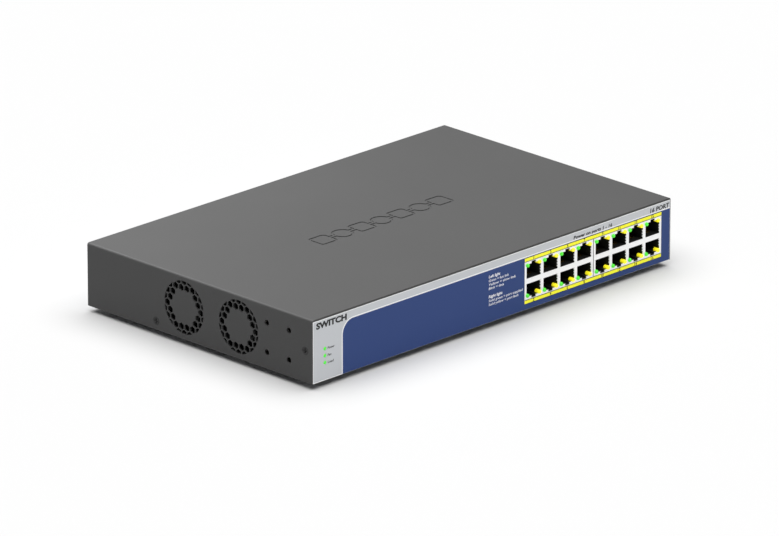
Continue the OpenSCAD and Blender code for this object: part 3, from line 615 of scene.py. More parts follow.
class TurnScrews(Operator):
    """Countersunk screws with a cross recess, in the side walls, the rear wall and the inlet"""
    bl_idname = "switch.turn_screws"
    bl_label = "Turn the screws"

    def execute(self, context):
        wanted = context.scene.switch_body
        black = grain("Blackened screw", grey(0.030), grey(0.075), {"Metallic": 0.75}, (0.12, 0.02),
                      grain_size=0.25 * MM, roughness=0.45, contrast=0.5)
        heads = {"cover_screws": [], "inlet_screws": []}
        for node, shapes in heads.items():
            for low, high in islands(node):
                middle, size = (low + high) / 2, high - low
                if size.min() < LEAST_SCREW:
                    continue
                if size[0] > size[1]:
                    axis, tip = ("-x", low[0]) if middle[0] < 0 else ("+x", high[0])
                    origin = (tip, middle[1], middle[2])
                else:
                    axis, origin = "+y", (middle[0], high[1], middle[2])
                across = size[0] if axis == "+y" else size[1]
                head = cross_head(max(across, size[2]) / 2, wanted.recess, wanted.recess_arm)
                shapes.append(placed(head, origin, axis))
            if not shapes:
                raise RuntimeError("no screws found in " + node)
        for node, shapes in heads.items():
            build("cross_" + node, joined(shapes), black, stands_for=[node], sharp=50)
        paint(black, "fan_screws")
        return {"FINISHED"}


class MouldFeet(Operator):
    """Round rubber feet with a soft edge and a shallow hollow below"""
    bl_idname = "switch.mould_feet"
    bl_label = "Mould the feet"

    def execute(self, context):
        rubber = grain("Foot rubber", grey(0.008), grey(0.020), SATIN, (0.3, 0.04),
                       grain_size=0.3 * MM, roughness=0.8)
        shapes = []
        for radius, height, foot in upright("rubber_feet"):
            edge = quarter(radius - 1.5, 0.7, 0.7, -90, 8)
            rim = quarter(radius - 0.4, height - 0.4, 0.4, 0, 6)
            profile = [[0, 0.6], [2.0, 0.6], [2.5, 0.35], [2.8, 0], *edge, *rim, [0, height]]
            shapes.append(placed(revolve(profile, 48), foot))
        build("round_feet", joined(shapes), rubber, stands_for=["rubber_feet"])
        return {"FINISHED"}


# ---- front ----

# the field stays off the film's right and lower edges, and the window off the shields, by these
FIELD_RIGHT, FIELD_LOWER, WINDOW_GAP = 0.25 * MM, 0.1 * MM, 0.15 * MM
SUNK = -0.3                # ink starts this many layers inside the film


def front_inks(wanted):
    """The inks of the front, each slightly uneven, as screen printing is."""
    def ink(name, colour, other, rough=0.42):
        return grain(name, tuple(colour), other, SATIN, (0.08, 0.01),
                     grain_size=0.3 * MM, contrast=0.25, roughness=rough, cloud=0.12)
    deep = tuple(0.8 * c for c in wanted.field)
    return {
        "field": ink("Field ink", wanted.field, deep, 0.48),
        "strip": ink("Number strip ink", wanted.strip, (0.96, 0.86, 0.02)),
        "dark": ink("Dark ink", wanted.ink, grey(0.03)),
        "pale": ink("Pale ink", wanted.pale, grey(0.72)),
    }


def depth_of(wanted, layer):
    """Y of the outer side of an ink layer, counted from the film."""
    return FRONT - wanted.layer * layer


class PrintFront(Operator):
    """Silver film with the large field, its pale outline, the number strips and their rules, and a pale line
    along the film's edge that is a painted highlight
    """
    bl_idname = "switch.print_front"
    bl_label = "Print the front"

    def execute(self, context):
        wanted = context.scene.switch_front
        film = grain("Silver film", tuple(wanted.film), tuple(1.12 * c for c in wanted.film),
                     {"Metallic": 0.15, "Specular IOR Level": 0.35}, (0.06, 0.01), grain_size=0.25 * MM,
                     contrast=0.3, roughness=0.45)
        paint(film, "front_label")
        inks = front_inks(wanted)
        film_low, film_high = (np.array(c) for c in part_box("front_label"))
        sockets_low = np.array(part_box("jack_shield_left")[0])
        sockets_high = np.array(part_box("jack_shield_right")[1])
        gap = wanted.strip_gap + WINDOW_GAP
        window = rectangle(sockets_low[0] - gap, sockets_high[0] + gap,
                           sockets_low[2] - gap, sockets_high[2] + gap)
        x0, z1 = LEFT + wanted.field_left, UNDER + wanted.field_top
        x1, z0 = film_high[0] - FIELD_RIGHT, film_low[2] + FIELD_LOWER
        radius = wanted.field_corner

        def field_outline(grow):
            corner = quarter(x0 + radius, z1 - radius, radius + grow, 90, 20)
            return np.concatenate([[[x1, z1 + grow]], corner, [[x0 - grow, z0]]])

        base = depth_of(wanted, SUNK)
        outer = np.concatenate([[[x1, z0]], field_outline(0)])
        field = frame_between(outer, window, base, depth_of(wanted, 1))
        build("print_field", field, inks["field"])
        lines = [sheet_between(field_outline(0), field_outline(wanted.outline), base,
                               depth_of(wanted, 2), False)]
        # pale line along the film's lower, left and top edges: a painted highlight of the film's edge, in
        # pale ink
        edge = wanted.margin
        lines.append(sheet_between(
            np.array([[x0 - wanted.outline, film_low[2]], [film_low[0], film_low[2]],
                      [film_low[0], film_high[2]], [film_high[0], film_high[2]]]),
            np.array([[x0 - wanted.outline, film_low[2] + edge], [film_low[0] + edge, film_low[2] + edge],
                      [film_low[0] + edge, film_high[2] - edge], [film_high[0], film_high[2] - edge]]),
            base, depth_of(wanted, 1), False))
        # one object: the printed outline of the field and the painted edge highlight
        build("pale_outline_and_edge_highlight", joined(lines), inks["pale"])

        ends = (sockets_low[0] - wanted.strip_side, sockets_high[0] + wanted.strip_side)
        strips, rules = [], []
        for row in ("top", "bottom"):
            low, high = strip_span(wanted, row)
            strips.append((*ends, low, high))
            rules += [(*ends, low, low + wanted.rule), (*ends, high - wanted.rule, high)]
        for name, boxes, ink, layer in (("print_number_strips", strips, "strip", 2),
                                        ("print_strip_rules", rules, "dark", 3)):
            plates = [sheet_between(rectangle(*b)[[0, 1]], rectangle(*b)[[3, 2]], depth_of(wanted, 0.5),
                                    depth_of(wanted, layer), False) for b in boxes]
            build(name, joined(plates), inks[ink])
        return {"FINISHED"}


LETTER_DEPTH = 0.01


def letters(text, bold=0.0, slant=0.0):
    """One line of lettering as a closed shape, flat on X and Y, with capitals one unit high."""
    curve = bpy.data.curves.new("line", "FONT")
    curve.body, curve.offset, curve.shear = text, bold, slant
    curve.extrude, curve.resolution_u = LETTER_DEPTH, 3
    line = bpy.data.objects.new("line", curve)
    bpy.context.scene.collection.objects.link(line)
    bpy.context.view_layer.update()
    mesh = bpy.data.meshes.new_from_object(line.evaluated_get(bpy.context.evaluated_depsgraph_get()))
    work = bmesh.new()
    work.from_mesh(mesh)
    bmesh.ops.remove_doubles(work, verts=work.verts, dist=1e-4)
    work.verts.index_update()
    points = np.array([v.co[:] for v in work.verts])
    faces = [[v.index for v in face.verts] for face in work.faces]
    work.free()
    bpy.data.objects.remove(line)
    bpy.data.curves.remove(curve)
    bpy.data.meshes.remove(mesh)
    return points, faces


CAPITAL = {}


def capital_height():
    if "H" not in CAPITAL:
        points = letters("H")[0]
        CAPITAL["H"] = points[:, 1].max() - points[:, 1].min()
    return CAPITAL["H"]


def lettering(text, x, z, height, near, far, align="left", bold=0.0, slant=0.0, width=None):
    """A line of lettering on the front: X and Y of the font become X and Z, and its depth runs from far
    to near."""
    points, faces = letters(text, bold, slant)
    scale = height / capital_height()
    points[:, 0] -= points[:, 0].min()
    run = points[:, 0].max()
    stretch = scale if width is None else width / run
    start = {"left": 0.0, "centre": -run / 2, "right": -run}[align]
    front = points[:, 2] > 0
    placed_points = np.stack([x + (points[:, 0] + start) * stretch,
                              np.where(front, near, far), z + points[:, 1] * scale], -1)
    return placed_points, faces


# text, X from the body's left side, Z above its underside, height of a capital, alignment, bold, slant, width
SLANT = 0.12
DARK_WORDS = [
    ("SWITCH", 3.4, 36.3, 3.75, "left", 0.05, 0.0, 27.3),
    ("16 PORT", 328.9, 37.1, 2.8, "right", 0.035, SLANT, 18.4),
    ("Power on ports 1 - 16", 238.3, 37.2, 2.1, "left", 0.035, SLANT, 36.3),
    ("Power", 13.6, 20.7, 1.5, "left", 0.02, SLANT, 6.2),
    ("Fan", 13.6, 15.9, 1.5, "left", 0.02, SLANT, 3.3),
    ("Load", 13.6, 11.1, 1.5, "left", 0.02, SLANT, 5.4),
]
NOTES_X = 159.6
PALE_WORDS = [(text, NOTES_X, z, height, "left", bold, SLANT, width) for text, z, height, bold, width in (
    ("Left light", 30.6, 1.8, 0.025, 10.6),
    ("Green = fast link", 27.9, 1.6, 0.008, 18.5),
    ("Yellow = slow link", 25.2, 1.6, 0.008, 25.0),
    ("Blink = data", 22.6, 1.6, 0.008, 14.0),
    ("Right light", 16.9, 1.8, 0.025, 12.6),
    ("Solid green = port supplied", 14.2, 1.6, 0.008, 31.5),
    ("Solid yellow = port fault", 11.6, 1.6, 0.008, 27.5),
)]
NUMBER_BOLD = 0.02


class LetterFront(Operator):
    """Plain generic words and the socket numbers, as thin layers of ink"""
    bl_idname = "switch.letter_front"
    bl_label = "Letter the front"

    def execute(self, context):
        wanted = context.scene.switch_front
        inks = front_inks(wanted)
        far, near = depth_of(wanted, 0.5), depth_of(wanted, 2)
        for name, words, ink in (("print_dark_words", DARK_WORDS, "dark"),
                                 ("print_pale_words", PALE_WORDS, "pale")):
            lines = [lettering(text, LEFT + x * MM, UNDER + z * MM, height * MM, near, far,
                               align, bold, slant, width * MM)
                     for text, x, z, height, align, bold, slant, width in words]
            build(name, joined(lines), inks[ink])
        lines = []
        for column, x in enumerate(socket_columns()):
            for row, edge in enumerate(("top", "bottom")):
                low, high = strip_span(wanted, edge)
                z = (low + high - wanted.numbers) / 2
                lines.append(lettering(str(2 * column + row + 1), x, z, wanted.numbers,
                                       depth_of(wanted, 3), depth_of(wanted, 1), "centre", NUMBER_BOLD))
        build("print_numbers", joined(lines), inks["dark"])
        return {"FINISHED"}


def strip_span(wanted, edge):
    """Lowest and highest Z of a number strip."""
    gap = wanted.strip_gap + WINDOW_GAP
    low, high = (np.array(c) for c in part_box("jack_shield_left"))
    if edge == "top":
        return high[2] + gap, high[2] + gap + wanted.strip_height
    return low[2] - gap - wanted.strip_height, low[2] - gap


def socket_columns():
    """X of the middle of each column of sockets, four to a block."""
    pitch = bpy.context.scene.switch_sockets.pitch
    middles = []
    for node in ("jack_shield_left", "jack_shield_right"):
        low, high = (np.array(c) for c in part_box(node))
        middles += [(low[0] + high[0]) / 2 + (k - 1.5) * pitch for k in range(4)]
    return middles


# ---- sockets and lights ----

TONGUE_STEPS = (1.3, 3.2, 5.1)     # mm from the middle band to the middle of each spring tongue


def tongue(x, z, side, wanted, rows=9, columns=4, thick=0.12 * MM):
    """Spring tongue of the shield: over its length t it bows into the opening by rise sin(pi t), and its
    width narrows to a rounded end. Thickness runs across the bow."""
    t = np.linspace(0, 1, rows)[:, None]
    across = np.linspace(-0.5, 0.5, columns)[None, :]
    y = FRONT + (0.02 * MM + wanted.tongue_length * t) + 0 * across
    bow = wanted.tongue_rise * np.sin(np.pi * t) ** 0.8 - 0.1 * MM
    width = wanted.tongue_width * (1 - 0.35 * t ** 3)
    outer = np.stack([x - side * (bow + 0 * across), y, z + width * across], -1)
    inner = outer + np.array([side * thick, 0, 0])
    rings = np.concatenate([outer, inner[:, ::-1]], 1)
    return closed_tube(rings)


class FinishSockets(Operator):
    """Bright shields with spring tongues, black housings and gilt contacts"""
    bl_idname = "switch.finish_sockets"
    bl_label = "Finish the sockets"

    def execute(self, context):
        wanted = context.scene.switch_sockets
        shield = brushed("Shield metal", tuple(wanted.shield), (0.80, 0.80, 0.80), line_size=0.25 * MM,
                         squeeze=(0.05, 1.0, 1.0), roughness=0.34, contrast=0.4)
        housing = grain("Socket housing", tuple(wanted.plastic), grey(0.02), SATIN,
                        (0.15, 0.02), grain_size=0.2 * MM, roughness=0.5)
        gilt = brushed("Gilt contact", (0.83, 0.60, 0.22), (0.62, 0.42, 0.14), line_size=0.1 * MM,
                       squeeze=(1.0, 0.1, 1.0), roughness=0.25)
        paint(shield, "jack_shield_left", "jack_shield_right")
        paint(housing, "jack_housing_left", "jack_housing_right")
        paint(gilt, "jack_contacts_left", "jack_contacts_right")
        low, high = (np.array(c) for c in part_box("jack_shield_left"))
        middle_z = (low[2] + high[2]) / 2
        tongues = []
        for x in socket_columns():
            for side in (-1, 1):
                for row in (-1, 1):
                    for step in TONGUE_STEPS:
                        z = middle_z + row * (wanted.middle_band + step * MM)
                        tongues.append(tongue(x + side * wanted.opening / 2, z, side, wanted))
        build("shield_tongues", joined(tongues), shield)
        return {"FINISHED"}


def lit(name, colour, glow):
    """Clear dyed plastic with light in it."""
    colour = tuple(colour)
    return grain(name, colour, tuple(0.85 * c for c in colour),
                 {"Emission Color": colour, "Emission Strength": glow, "Coat Weight": 0.4,
                  "Coat Roughness": 0.15},
                 (0.05, 0.02), grain_size=0.5 * MM, roughness=0.3, contrast=0.3)


def rod(radius, long, dome):
    """Light rod along its own Z, from its far end at -long to an elliptic tip: (radius cos a, dome sin a)."""
    turn = np.linspace(0, np.pi / 2, 8)[:-1]
    tip = [[radius * math.cos(a), dome * math.sin(a)] for a in turn]
    return revolve([[0, -long], [radius - 0.15, -long], [radius, 0.15 - long], *tip, [0, dome]], 32)


class CastLights(Operator):
    """Domed light rods of the sockets and the three status lights"""
    bl_idname = "switch.cast_lights"
    bl_label = "Cast the lights"

    def execute(self, context):
        wanted = context.scene.switch_sockets
        jobs = (("port_leds_green", "lights_left", "Left light", wanted.left_light, "led_green"),
                ("port_leds_yellow", "lights_right", "Right light", wanted.right_light, "led_yellow"),
                ("status_leds", "lights_status", "Status light", wanted.status_light, "led_green"))
        for node, name, material, colour, slot in jobs:
            rods = []
            for low, high in islands(node):
                middle = (low + high) / 2
                if node == "status_leds":
                    radius = (high[2] - low[2]) / 2 / MM - 0.5
                    shapes = [rod(radius, (high[1] - low[1]) / MM, 0.3 * radius),
                              placed(revolve([[0, 0], [radius + 0.4, 0], [radius + 0.5, 0.1],
                                              [radius + 0.5, 0.9], [radius + 0.4, 1.0], [0, 1.0]], 32),
                                     (0, 0, -(high[1] - low[1])))]
                    shape = joined(shapes)
                else:
                    shape = rod((high[0] - low[0]) / 2 / MM, (high[1] - low[1]) / MM, wanted.dome / MM)
                rods.append(placed(shape, (middle[0], low[1], middle[2]), "-y"))
            build(name, joined(rods), lit(material, colour, wanted.glow), stands_for=[node])
        return {"FINISHED"}


# ---- fans ----

BLADE_ROOT = 0.35 * MM     # how far a blade starts inside the rotor's cup


def blade(wanted, turn, rows=10, columns=18):
    """Point (s, q): s runs from hub to tip and q round the section. The section is an ellipse-nosed bow of
    chord c(s), thickness and camber, pitched by b(s) and wrapped on the cylinder of radius r(s)."""
    s = np.linspace(0, 1, rows)[:, None]
    q = (np.arange(columns) * 2 * np.pi / columns)[None, :]
    root = wanted.hub - BLADE_ROOT
    radius = root + (wanted.tip - root) * s
    chord = wanted.root_chord + (wanted.tip_chord - wanted.root_chord) * s
    along = chord / 2 * np.cos(q)
    camber = 0.09 * chord * (1 - (2 * along / chord) ** 2)
    thick = wanted.thickness / 2 * np.sin(q) * (1 - 0.25 * np.cos(q)) * (1 - 0.3 * s)
    pitch = np.radians(50 - 17 * s)
    across = camber + thick
    height = along * np.sin(pitch) + across * np.cos(pitch)
    wrap = turn + 0.35 * s + (along * np.cos(pitch) - across * np.sin(pitch)) / radius
    return closed_tube(np.stack([radius * np.cos(wrap), radius * np.sin(wrap), height], -1))


def cup(hub, height):
    """Rotor cup about Z, open at its far end: a wall, and a face with a rounded edge and a shallow round
    recess."""
    bore, hollow, face, inside = 1.02, 0.35, 1.6, hub - 1.2
    edge = quarter(hub - 1.0, 1.0, 1.0, -90, 7)
    return revolve_bored([[bore, hollow], [hub - 3.6, hollow], [hub - 3.2, 0.0], *edge,
                          [hub, height - 0.2], [hub - 0.2, height], [inside, height],
                          [inside, face + 0.3], [inside - 0.3, face], [bore, face]], 64)


class SpinFans(Operator):
    """Moulded fans: rotors with pitched and bowed blades, frames, shafts and bearings"""
    bl_idname = "switch.spin_fans"
    bl_label = "Mould the fans"

    def execute(self, context):
        wanted = context.scene.switch_fans
        plastic = grain("Fan plastic", tuple(wanted.plastic), grey(0.022), {"Specular IOR Level": 0.35},
                        (0.15, 0.02), grain_size=0.3 * MM, roughness=0.42)
        bronze = brushed("Sintered bronze", (0.52, 0.33, 0.13), (0.36, 0.22, 0.09), line_size=0.15 * MM,
                         squeeze=(1.0, 1.0, 1.0), roughness=0.45)
        steel = brushed("Ground shaft", (0.70, 0.70, 0.71), (0.55, 0.55, 0.56), line_size=0.08 * MM,
                        squeeze=(1.0, 0.1, 0.1), roughness=0.18)
        paint(plastic, "fan_frame_front", "fan_frame_rear")
        paint(bronze, "fan_bearings")
        paint(steel, "fan_shaft_front", "fan_shaft_rear")
        for side in ("front", "rear"):
            node = "fan_rotor_" + side
            low, high = (np.array(c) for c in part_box("fan_shaft_" + side))
            rotor_low, rotor_high = (np.array(c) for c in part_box(node))
            middle = (low + high) / 2
            depth = rotor_high[0] - rotor_low[0]
            blades = [blade(wanted, k * 2 * math.pi / wanted.blades) for k in range(wanted.blades)]
            ring = placed(joined(blades), (rotor_low[0] + 0.51 * depth, middle[1], middle[2]), "+x")
            body = placed(cup(wanted.hub / MM, depth / MM), (rotor_low[0], middle[1], middle[2]), "+x")
            build("bladed_rotor_" + side, joined([body, ring]), plastic, "rotor_" + side,
                  [node], sharp=40)
        return {"FINISHED"}


# ---- inside ----

class FitBoards(Operator):
    """Boards with tracks, chips, heatsinks, headers and the small moulded parts on them"""
    bl_idname = "switch.fit_boards"
    bl_label = "Fit the boards"

    def execute(self, context):
        wanted = context.scene.switch_inside
        board = finish("Main board", "tracks", {
            "Colour": tuple(wanted.mask), "Track": tuple(wanted.track), "Pad": (0.62, 0.60, 0.52),
            "Pitch": 0.55 * MM, "Roughness": 0.35}, {"Specular IOR Level": 0.5}, (0.3, 0.03))
        supply = finish("Supply board", "tracks", {
            "Colour": (0.30, 0.19, 0.06), "Track": (0.42, 0.28, 0.10), "Pad": (0.62, 0.60, 0.52),
            "Pitch": 1.4 * MM, "Roughness": 0.5}, {}, (0.3, 0.04))
        paint(board, "main_board", "status_board")
        paint(supply, "psu_board")
        chips = grain("Chip moulding", grey(0.018), grey(0.036), {}, (0.25, 0.02), grain_size=0.12 * MM,
                      roughness=0.6)
        paint(chips, "switch_chip", "poe_chips", "memory_chips", "lan_transformers", "psu_transistors")
        sink = brushed("Extruded aluminium", (0.74, 0.75, 0.76), (0.58, 0.59, 0.60), line_size=0.3 * MM,
                       squeeze=(1.0, 0.05, 1.0), roughness=0.36)
        dark_sink = brushed("Black anodised", grey(0.035), grey(0.06), {"Metallic": 0.6}, line_size=0.3 * MM,
                            squeeze=(1.0, 0.05, 1.0), roughness=0.42)
        paint(sink, "switch_heatsink", "psu_primary_heatsink", "psu_secondary_heatsink")
        paint(dark_sink, "poe_heatsinks")
        moulded = [
            ("Ferrite", grey(0.030), grey(0.055), 0.15, 0.55, ("power_inductors", "psu_transformer_core")),
            ("White nylon", (0.72, 0.71, 0.66), (0.60, 0.59, 0.54), 0.3, 0.45,
             ("board_headers", "psu_connectors")),
            ("Insulating sheet", (0.70, 0.70, 0.64), (0.58, 0.58, 0.52), 0.8, 0.5, ("psu_insulator",)),
            ("Film capacitor", (0.62, 0.50, 0.08), (0.52, 0.40, 0.05), 0.3, 0.4, ("psu_film_capacitor",)),
            ("Fuse sleeve", (0.78, 0.77, 0.72), (0.66, 0.65, 0.60), 0.2, 0.3, ("psu_fuse",)),
        ]
        for name, colour, fleck, size, rough, nodes in moulded:
            paint(grain(name, colour, fleck, {}, (0.15, 0.02), grain_size=size * MM, roughness=rough),
                  *nodes)
        return {"FINISHED"}


def can_profile(radius, height):
    """Half outline of a sleeved can: rolled foot, crimped neck, wall, rolled rim, and the metal top inside
    the rim."""
    foot = quarter(radius - 0.4, 0.4, 0.4, -90, 5)
    rim = quarter(radius - 0.35, height - 0.45, 0.35, 0, 5)
    return [[0, 0.1], [radius - 0.8, 0.1], *foot, [radius, 1.3], [radius - 0.3, 1.6], [radius - 0.4, 1.9],
            [radius - 0.3, 2.2], [radius, 2.5], *rim, [radius - 0.6, height - 0.12],
            [radius - 0.8, height - 0.4], [0, height - 0.4]]


class StandCans(Operator):
    """Electrolytic capacitors with a crimped neck and a bare metal top"""
    bl_idname = "switch.stand_cans"
    bl_label = "Stand the capacitors"

    def execute(self, context):
        top = brushed("Can top", (0.72, 0.72, 0.73), (0.60, 0.60, 0.61), line_size=0.2 * MM,
                      squeeze=(0.1, 1.0, 1.0), roughness=0.3)
        blue = ("can_blue", "Blue sleeve", (0.020, 0.030, 0.110))
        jobs = (("board_capacitors", "cans_board", *blue),
                ("psu_output_capacitors", "cans_output", *blue),
                ("psu_bulk_capacitors", "cans_bulk", "can_black", "Black sleeve", grey(0.012)))
        sides = 40
        for node, name, slot, material, colour in jobs:
            sleeve = grain(material, colour, tuple(1.5 * c for c in colour),
                           {"Coat Weight": 0.3, "Coat Roughness": 0.2}, (0.05, 0.02), grain_size=0.5 * MM,
                           roughness=0.35)
            cans, metal = [], []
            for radius, height, foot in upright(node):
                shape = revolve(can_profile(radius, height), sides)
                cans.append(placed(shape, foot))
                bands = len(shape[1]) // sides
                metal += [0] * sides * (bands - 3) + [1] * sides + [0] * sides + [1] * sides
            build(name, joined(cans), sleeve, stands_for=[node], second=top, second_rows=metal)
        return {"FINISHED"}


def coil_round(centre, ring, wind, start, stop, turns, radius, per_turn=18, sides=6):
    """Wire wound on a ring that lies in X and Z: the path's angle a runs from start to stop while its own
    turn b makes the given number of turns, at ring + wind cos b from the middle and wind sin b across."""
    t = np.linspace(0, 1, turns * per_turn + 1)[:, None]
    a, b = start + (stop - start) * t, 2 * np.pi * turns * t
    spoke = np.concatenate([np.cos(a), 0 * a, np.sin(a)], 1)
    outward = np.cos(b) * spoke + np.sin(b) * np.array([[0.0, 1.0, 0.0]])
    return sweep(centre + ring * spoke + wind * outward, outward, radius, sides)


WINDING_GAP = 22           # degrees from the choke's upright line to the end of each winding


class WindCoils(Operator):
    """Line choke with two real windings, the taped transformer coil and the fan motor coils"""
    bl_idname = "switch.wind_coils"
    bl_label = "Wind the coils"

    def execute(self, context):
        wanted = context.scene.switch_inside
        copper = brushed("Enamelled copper", tuple(wanted.copper), (0.48, 0.15, 0.04), line_size=0.2 * MM,
                         squeeze=(1.0, 1.0, 1.0), roughness=0.28)
        # the turns are painted darker in the grooves between them: painted shade
        turns = finish("Wound copper", "wound", {
            "Colour": tuple(wanted.copper), "Shade": (0.30, 0.09, 0.03), "Axis": (1.0, 0.0, 0.0),
            "Pitch": 0.3 * MM, "Roughness": 0.32, "Roughness spread": 0.1}, {"Metallic": 0.9}, (0.6, 0.05))
        # the tape is painted darker in the troughs between its windings: painted shade
        tape = finish("Yellow tape", "wound", {
            "Colour": (0.80, 0.58, 0.05), "Shade": (0.60, 0.40, 0.03), "Axis": (0.0, 0.0, 1.0),
            "Pitch": 5.3 * MM, "Roughness": 0.38, "Roughness spread": 0.15},
            {"Coat Weight": 0.2}, (0.3, 0.05))
        core = grain("Choke core", (0.05, 0.20, 0.07), (0.08, 0.28, 0.11), {}, (0.2, 0.02),
                     grain_size=0.2 * MM, roughness=0.4)
        paint(turns, "fan_motors")
        paint(tape, "psu_transformer_coil")
        low, high = (np.array(c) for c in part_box("psu_line_choke"))
        centre = (low + high) / 2
        thick = (high[1] - low[1]) / 2
        ring = (high[0] - low[0]) / 2 - thick
        inner = thick - 2 * wanted.wire
        section = quarter(ring / MM + inner / MM - 0.8, inner / MM - 0.8, 0.8, 0, 4)
        half = np.concatenate([section, np.stack([2 * ring / MM - section[::-1, 0], section[::-1, 1]], -1)])
        profile = np.concatenate([half, half[::-1] * [1, -1]])
        build("choke_core", placed(revolve_bored(profile, 64), centre, "+y"), core)
        gap = math.radians(WINDING_GAP)
        coils = [coil_round(centre, ring, thick - wanted.wire, begin + gap, begin + math.pi - gap,
                            wanted.turns, wanted.wire) for begin in (math.pi / 2, -math.pi / 2)]
        build("choke_windings", joined(coils), copper, stands_for=["psu_line_choke"])
        return {"FINISHED"}


class RunCables(Operator):
    """Insulated wires, the fan leads and the flat ribbon inside the body"""
    bl_idname = "switch.run_cables"
    bl_label = "Run the cables"

    def execute(self, context):
        cables = (("Brown insulation", (0.20, 0.07, 0.02), "inlet_wires"),
                  ("Red insulation", (0.50, 0.02, 0.015), "dc_cable"),
                  ("Black insulation", grey(0.012), "fan_cables"),
                  ("Ribbon insulation", grey(0.42), "status_cable"))
        for name, colour, node in cables:
            paint(grain(name, colour, tuple(1.3 * c for c in colour), {"Coat Weight": 0.15}, (0.08, 0.02),
                        grain_size=0.6 * MM, roughness=0.4), node)
        return {"FINISHED"}


class FitInlet(Operator):
    """Mains inlet of black moulding with three plated blades"""
    bl_idname = "switch.fit_inlet"
    bl_label = "Fit the inlet"

    def execute(self, context):
        paint(grain("Inlet moulding", grey(0.010), grey(0.024), {"Specular IOR Level": 0.4}, (0.2, 0.03),
                    grain_size=0.35 * MM, roughness=0.38), "inlet_socket")
        paint(brushed("Plated blade", (0.74, 0.73, 0.68), (0.58, 0.57, 0.52), line_size=0.15 * MM,
                      squeeze=(1.0, 0.1, 1.0), roughness=0.22), "inlet_pins")
        return {"FINISHED"}


# ---- stage ----

FLOOR_REACH, FLOOR_STEPS = 9.0, 9
# spread, azimuth and elevation of a distant light, in degrees
OVERHEAD_LIGHT, FRONT_LIGHT = (88, 0, 90), (40, 20, 22)
SIDE_LIGHT = (0.3, (-0.15, 0.4, 0.45))     # size and place of the panel
# the point that the camera turns about, and its shift to the right and down
AIM, SHIFT = Vector((0, -3.5 * MM, 24.3 * MM)), (3.10 * MM, 8.70 * MM)


def outward(azimuth, elevation):
    """(sin a cos e, -cos a cos e, sin e): the way from the middle to a camera or a light."""
    flat = math.cos(elevation)
    return Vector((math.sin(azimuth) * flat, -math.cos(azimuth) * flat, math.sin(elevation)))


def sun(name, strength, spread, azimuth, elevation):
    """Distant light from the given azimuth and elevation. All angles are in degrees."""
    light = bpy.data.lights.new(name, "SUN")
    light.energy, light.angle = strength, math.radians(spread)
    lamp = bpy.data.objects.new(name, light)
    back = outward(math.radians(azimuth), math.radians(elevation))
    lamp.rotation_euler = back.to_track_quat("Z", "Y").to_euler()
    bpy.context.scene.collection.objects.link(lamp)
    return lamp


def panel_light(name, power, size, place):
    """Square panel of light that faces the middle of the stage."""
    light = bpy.data.lights.new(name, "AREA")
    light.energy, light.size = power, size
    lamp = bpy.data.objects.new(name, light)
    lamp.location = place
    lamp.rotation_euler = Vector(place).to_track_quat("Z", "Y").to_euler()
    bpy.context.scene.collection.objects.link(lamp)
    return lamp


def pass_by(lamp, unlit):
    """The lamp lights everything but one object."""
    passed = bpy.data.collections.new(lamp.name + "_passes")
    passed.objects.link(unlit)
    lamp.light_linking.receiver_collection = passed
    passed.collection_objects[0].light_linking.link_state = "EXCLUDE"


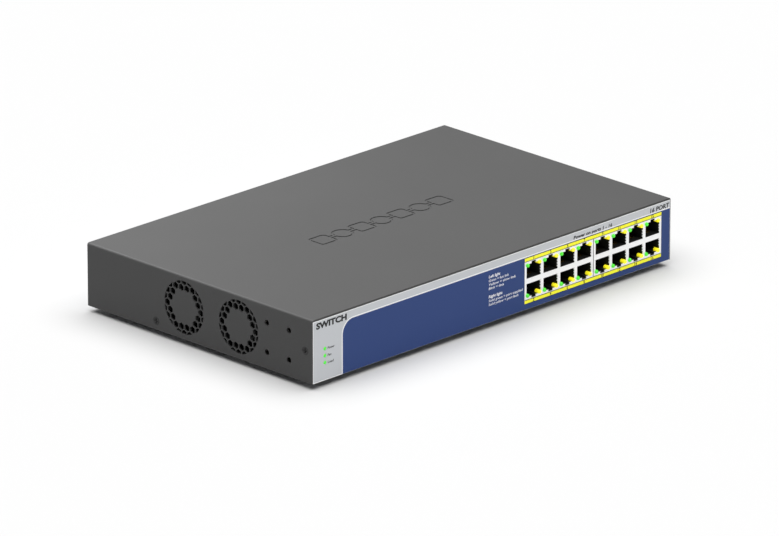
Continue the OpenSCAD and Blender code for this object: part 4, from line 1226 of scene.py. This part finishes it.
class SetStage(Operator):
    """Pale floor, soft lights and the camera"""
    bl_idname = "switch.set_stage"
    bl_label = "Set the stage"

    def execute(self, context):
        scene, wanted = context.scene, context.scene.switch_stage
        mesh = bpy.data.meshes.new("floor")
        steps = np.linspace(-FLOOR_REACH, FLOOR_REACH, FLOOR_STEPS)
        x, y = np.meshgrid(steps, steps, indexing="ij")
        mesh.from_pydata(np.stack([x, y, 0 * x], -1).reshape(-1, 3).tolist(), [],
                         [face[::-1] for face in grid_faces(FLOOR_STEPS, FLOOR_STEPS)])
        mesh.materials.append(grain("Pale floor", tuple(wanted.floor), grey(wanted.floor[0] * 0.985),
                                    {"Specular IOR Level": 0.0}, (0.0, 0.01), grain_size=3 * MM,
                                    roughness=1.0, roughness_spread=0.0))
        floor = bpy.data.objects.new("floor", mesh)
        scene.collection.objects.link(floor)
        if mesh.polygons[0].normal.z < 0:
            mesh.flip_normals()

        sun("overhead_light", wanted.overhead, *OVERHEAD_LIGHT)
        pass_by(sun("front_light", wanted.front, *FRONT_LIGHT), floor)
        pass_by(panel_light("side_light", wanted.side, *SIDE_LIGHT), floor)
        world = bpy.data.worlds.new("surround")
        world.use_nodes = True
        background = world.node_tree.nodes["Background"]
        background.inputs["Color"].default_value = (1.0, 1.0, 1.0, 1.0)
        background.inputs["Strength"].default_value = wanted.surround
        scene.world = world
        scene.view_settings.view_transform = "Standard"

        back = outward(wanted.azimuth, wanted.elevation)
        right = Vector((math.cos(wanted.azimuth), math.sin(wanted.azimuth), 0))
        up = back.cross(right)
        place = AIM + back * wanted.distance + right * SHIFT[0] - up * SHIFT[1]
        lens = bpy.data.cameras.new("camera")
        lens.lens, lens.sensor_width, lens.clip_end = wanted.lens, 36.0, 60.0
        camera = bpy.data.objects.new("camera", lens)
        camera.matrix_world = Matrix((
            (right.x, up.x, back.x, place.x), (right.y, up.y, back.y, place.y),
            (right.z, up.z, back.z, place.z), (0, 0, 0, 1)))
        scene.collection.objects.link(camera)
        scene.camera = camera
        return {"FINISHED"}


OPERATORS = (SetStage, PaintBody, TurnScrews, MouldFeet, PrintFront, LetterFront, FinishSockets, CastLights,
             SpinFans, FitBoards, StandCans, WindCoils, RunCables, FitInlet)


class SwitchPanel(Panel):
    """Lists the pieces of the switch and their sizes"""
    bl_idname = "SWITCH_PT_pieces"
    bl_label = "Network switch"
    bl_space_type = "VIEW_3D"
    bl_region_type = "UI"
    bl_category = "Switch"

    def draw(self, context):
        for name, group in GROUP_PROPERTIES.items():
            box = self.layout.box()
            for key in group.__annotations__:
                box.prop(getattr(context.scene, name), key)
        for operator in OPERATORS:
            self.layout.operator(operator.bl_idname)


CLASSES = (*GROUP_PROPERTIES.values(), *OPERATORS, SwitchPanel)


def register():
    for one in CLASSES:
        bpy.utils.register_class(one)
    for name, group in GROUP_PROPERTIES.items():
        setattr(bpy.types.Scene, name, PointerProperty(type=group))


def unregister():
    for name in GROUP_PROPERTIES:
        delattr(bpy.types.Scene, name)
    for one in reversed(CLASSES):
        bpy.utils.unregister_class(one)


def main():
    """Registers the add-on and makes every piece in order."""
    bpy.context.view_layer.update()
    register()
    for operator in OPERATORS:
        family, name = operator.bl_idname.split(".")
        getattr(getattr(bpy.ops, family), name)()


if __name__ == "__main__":
    main()
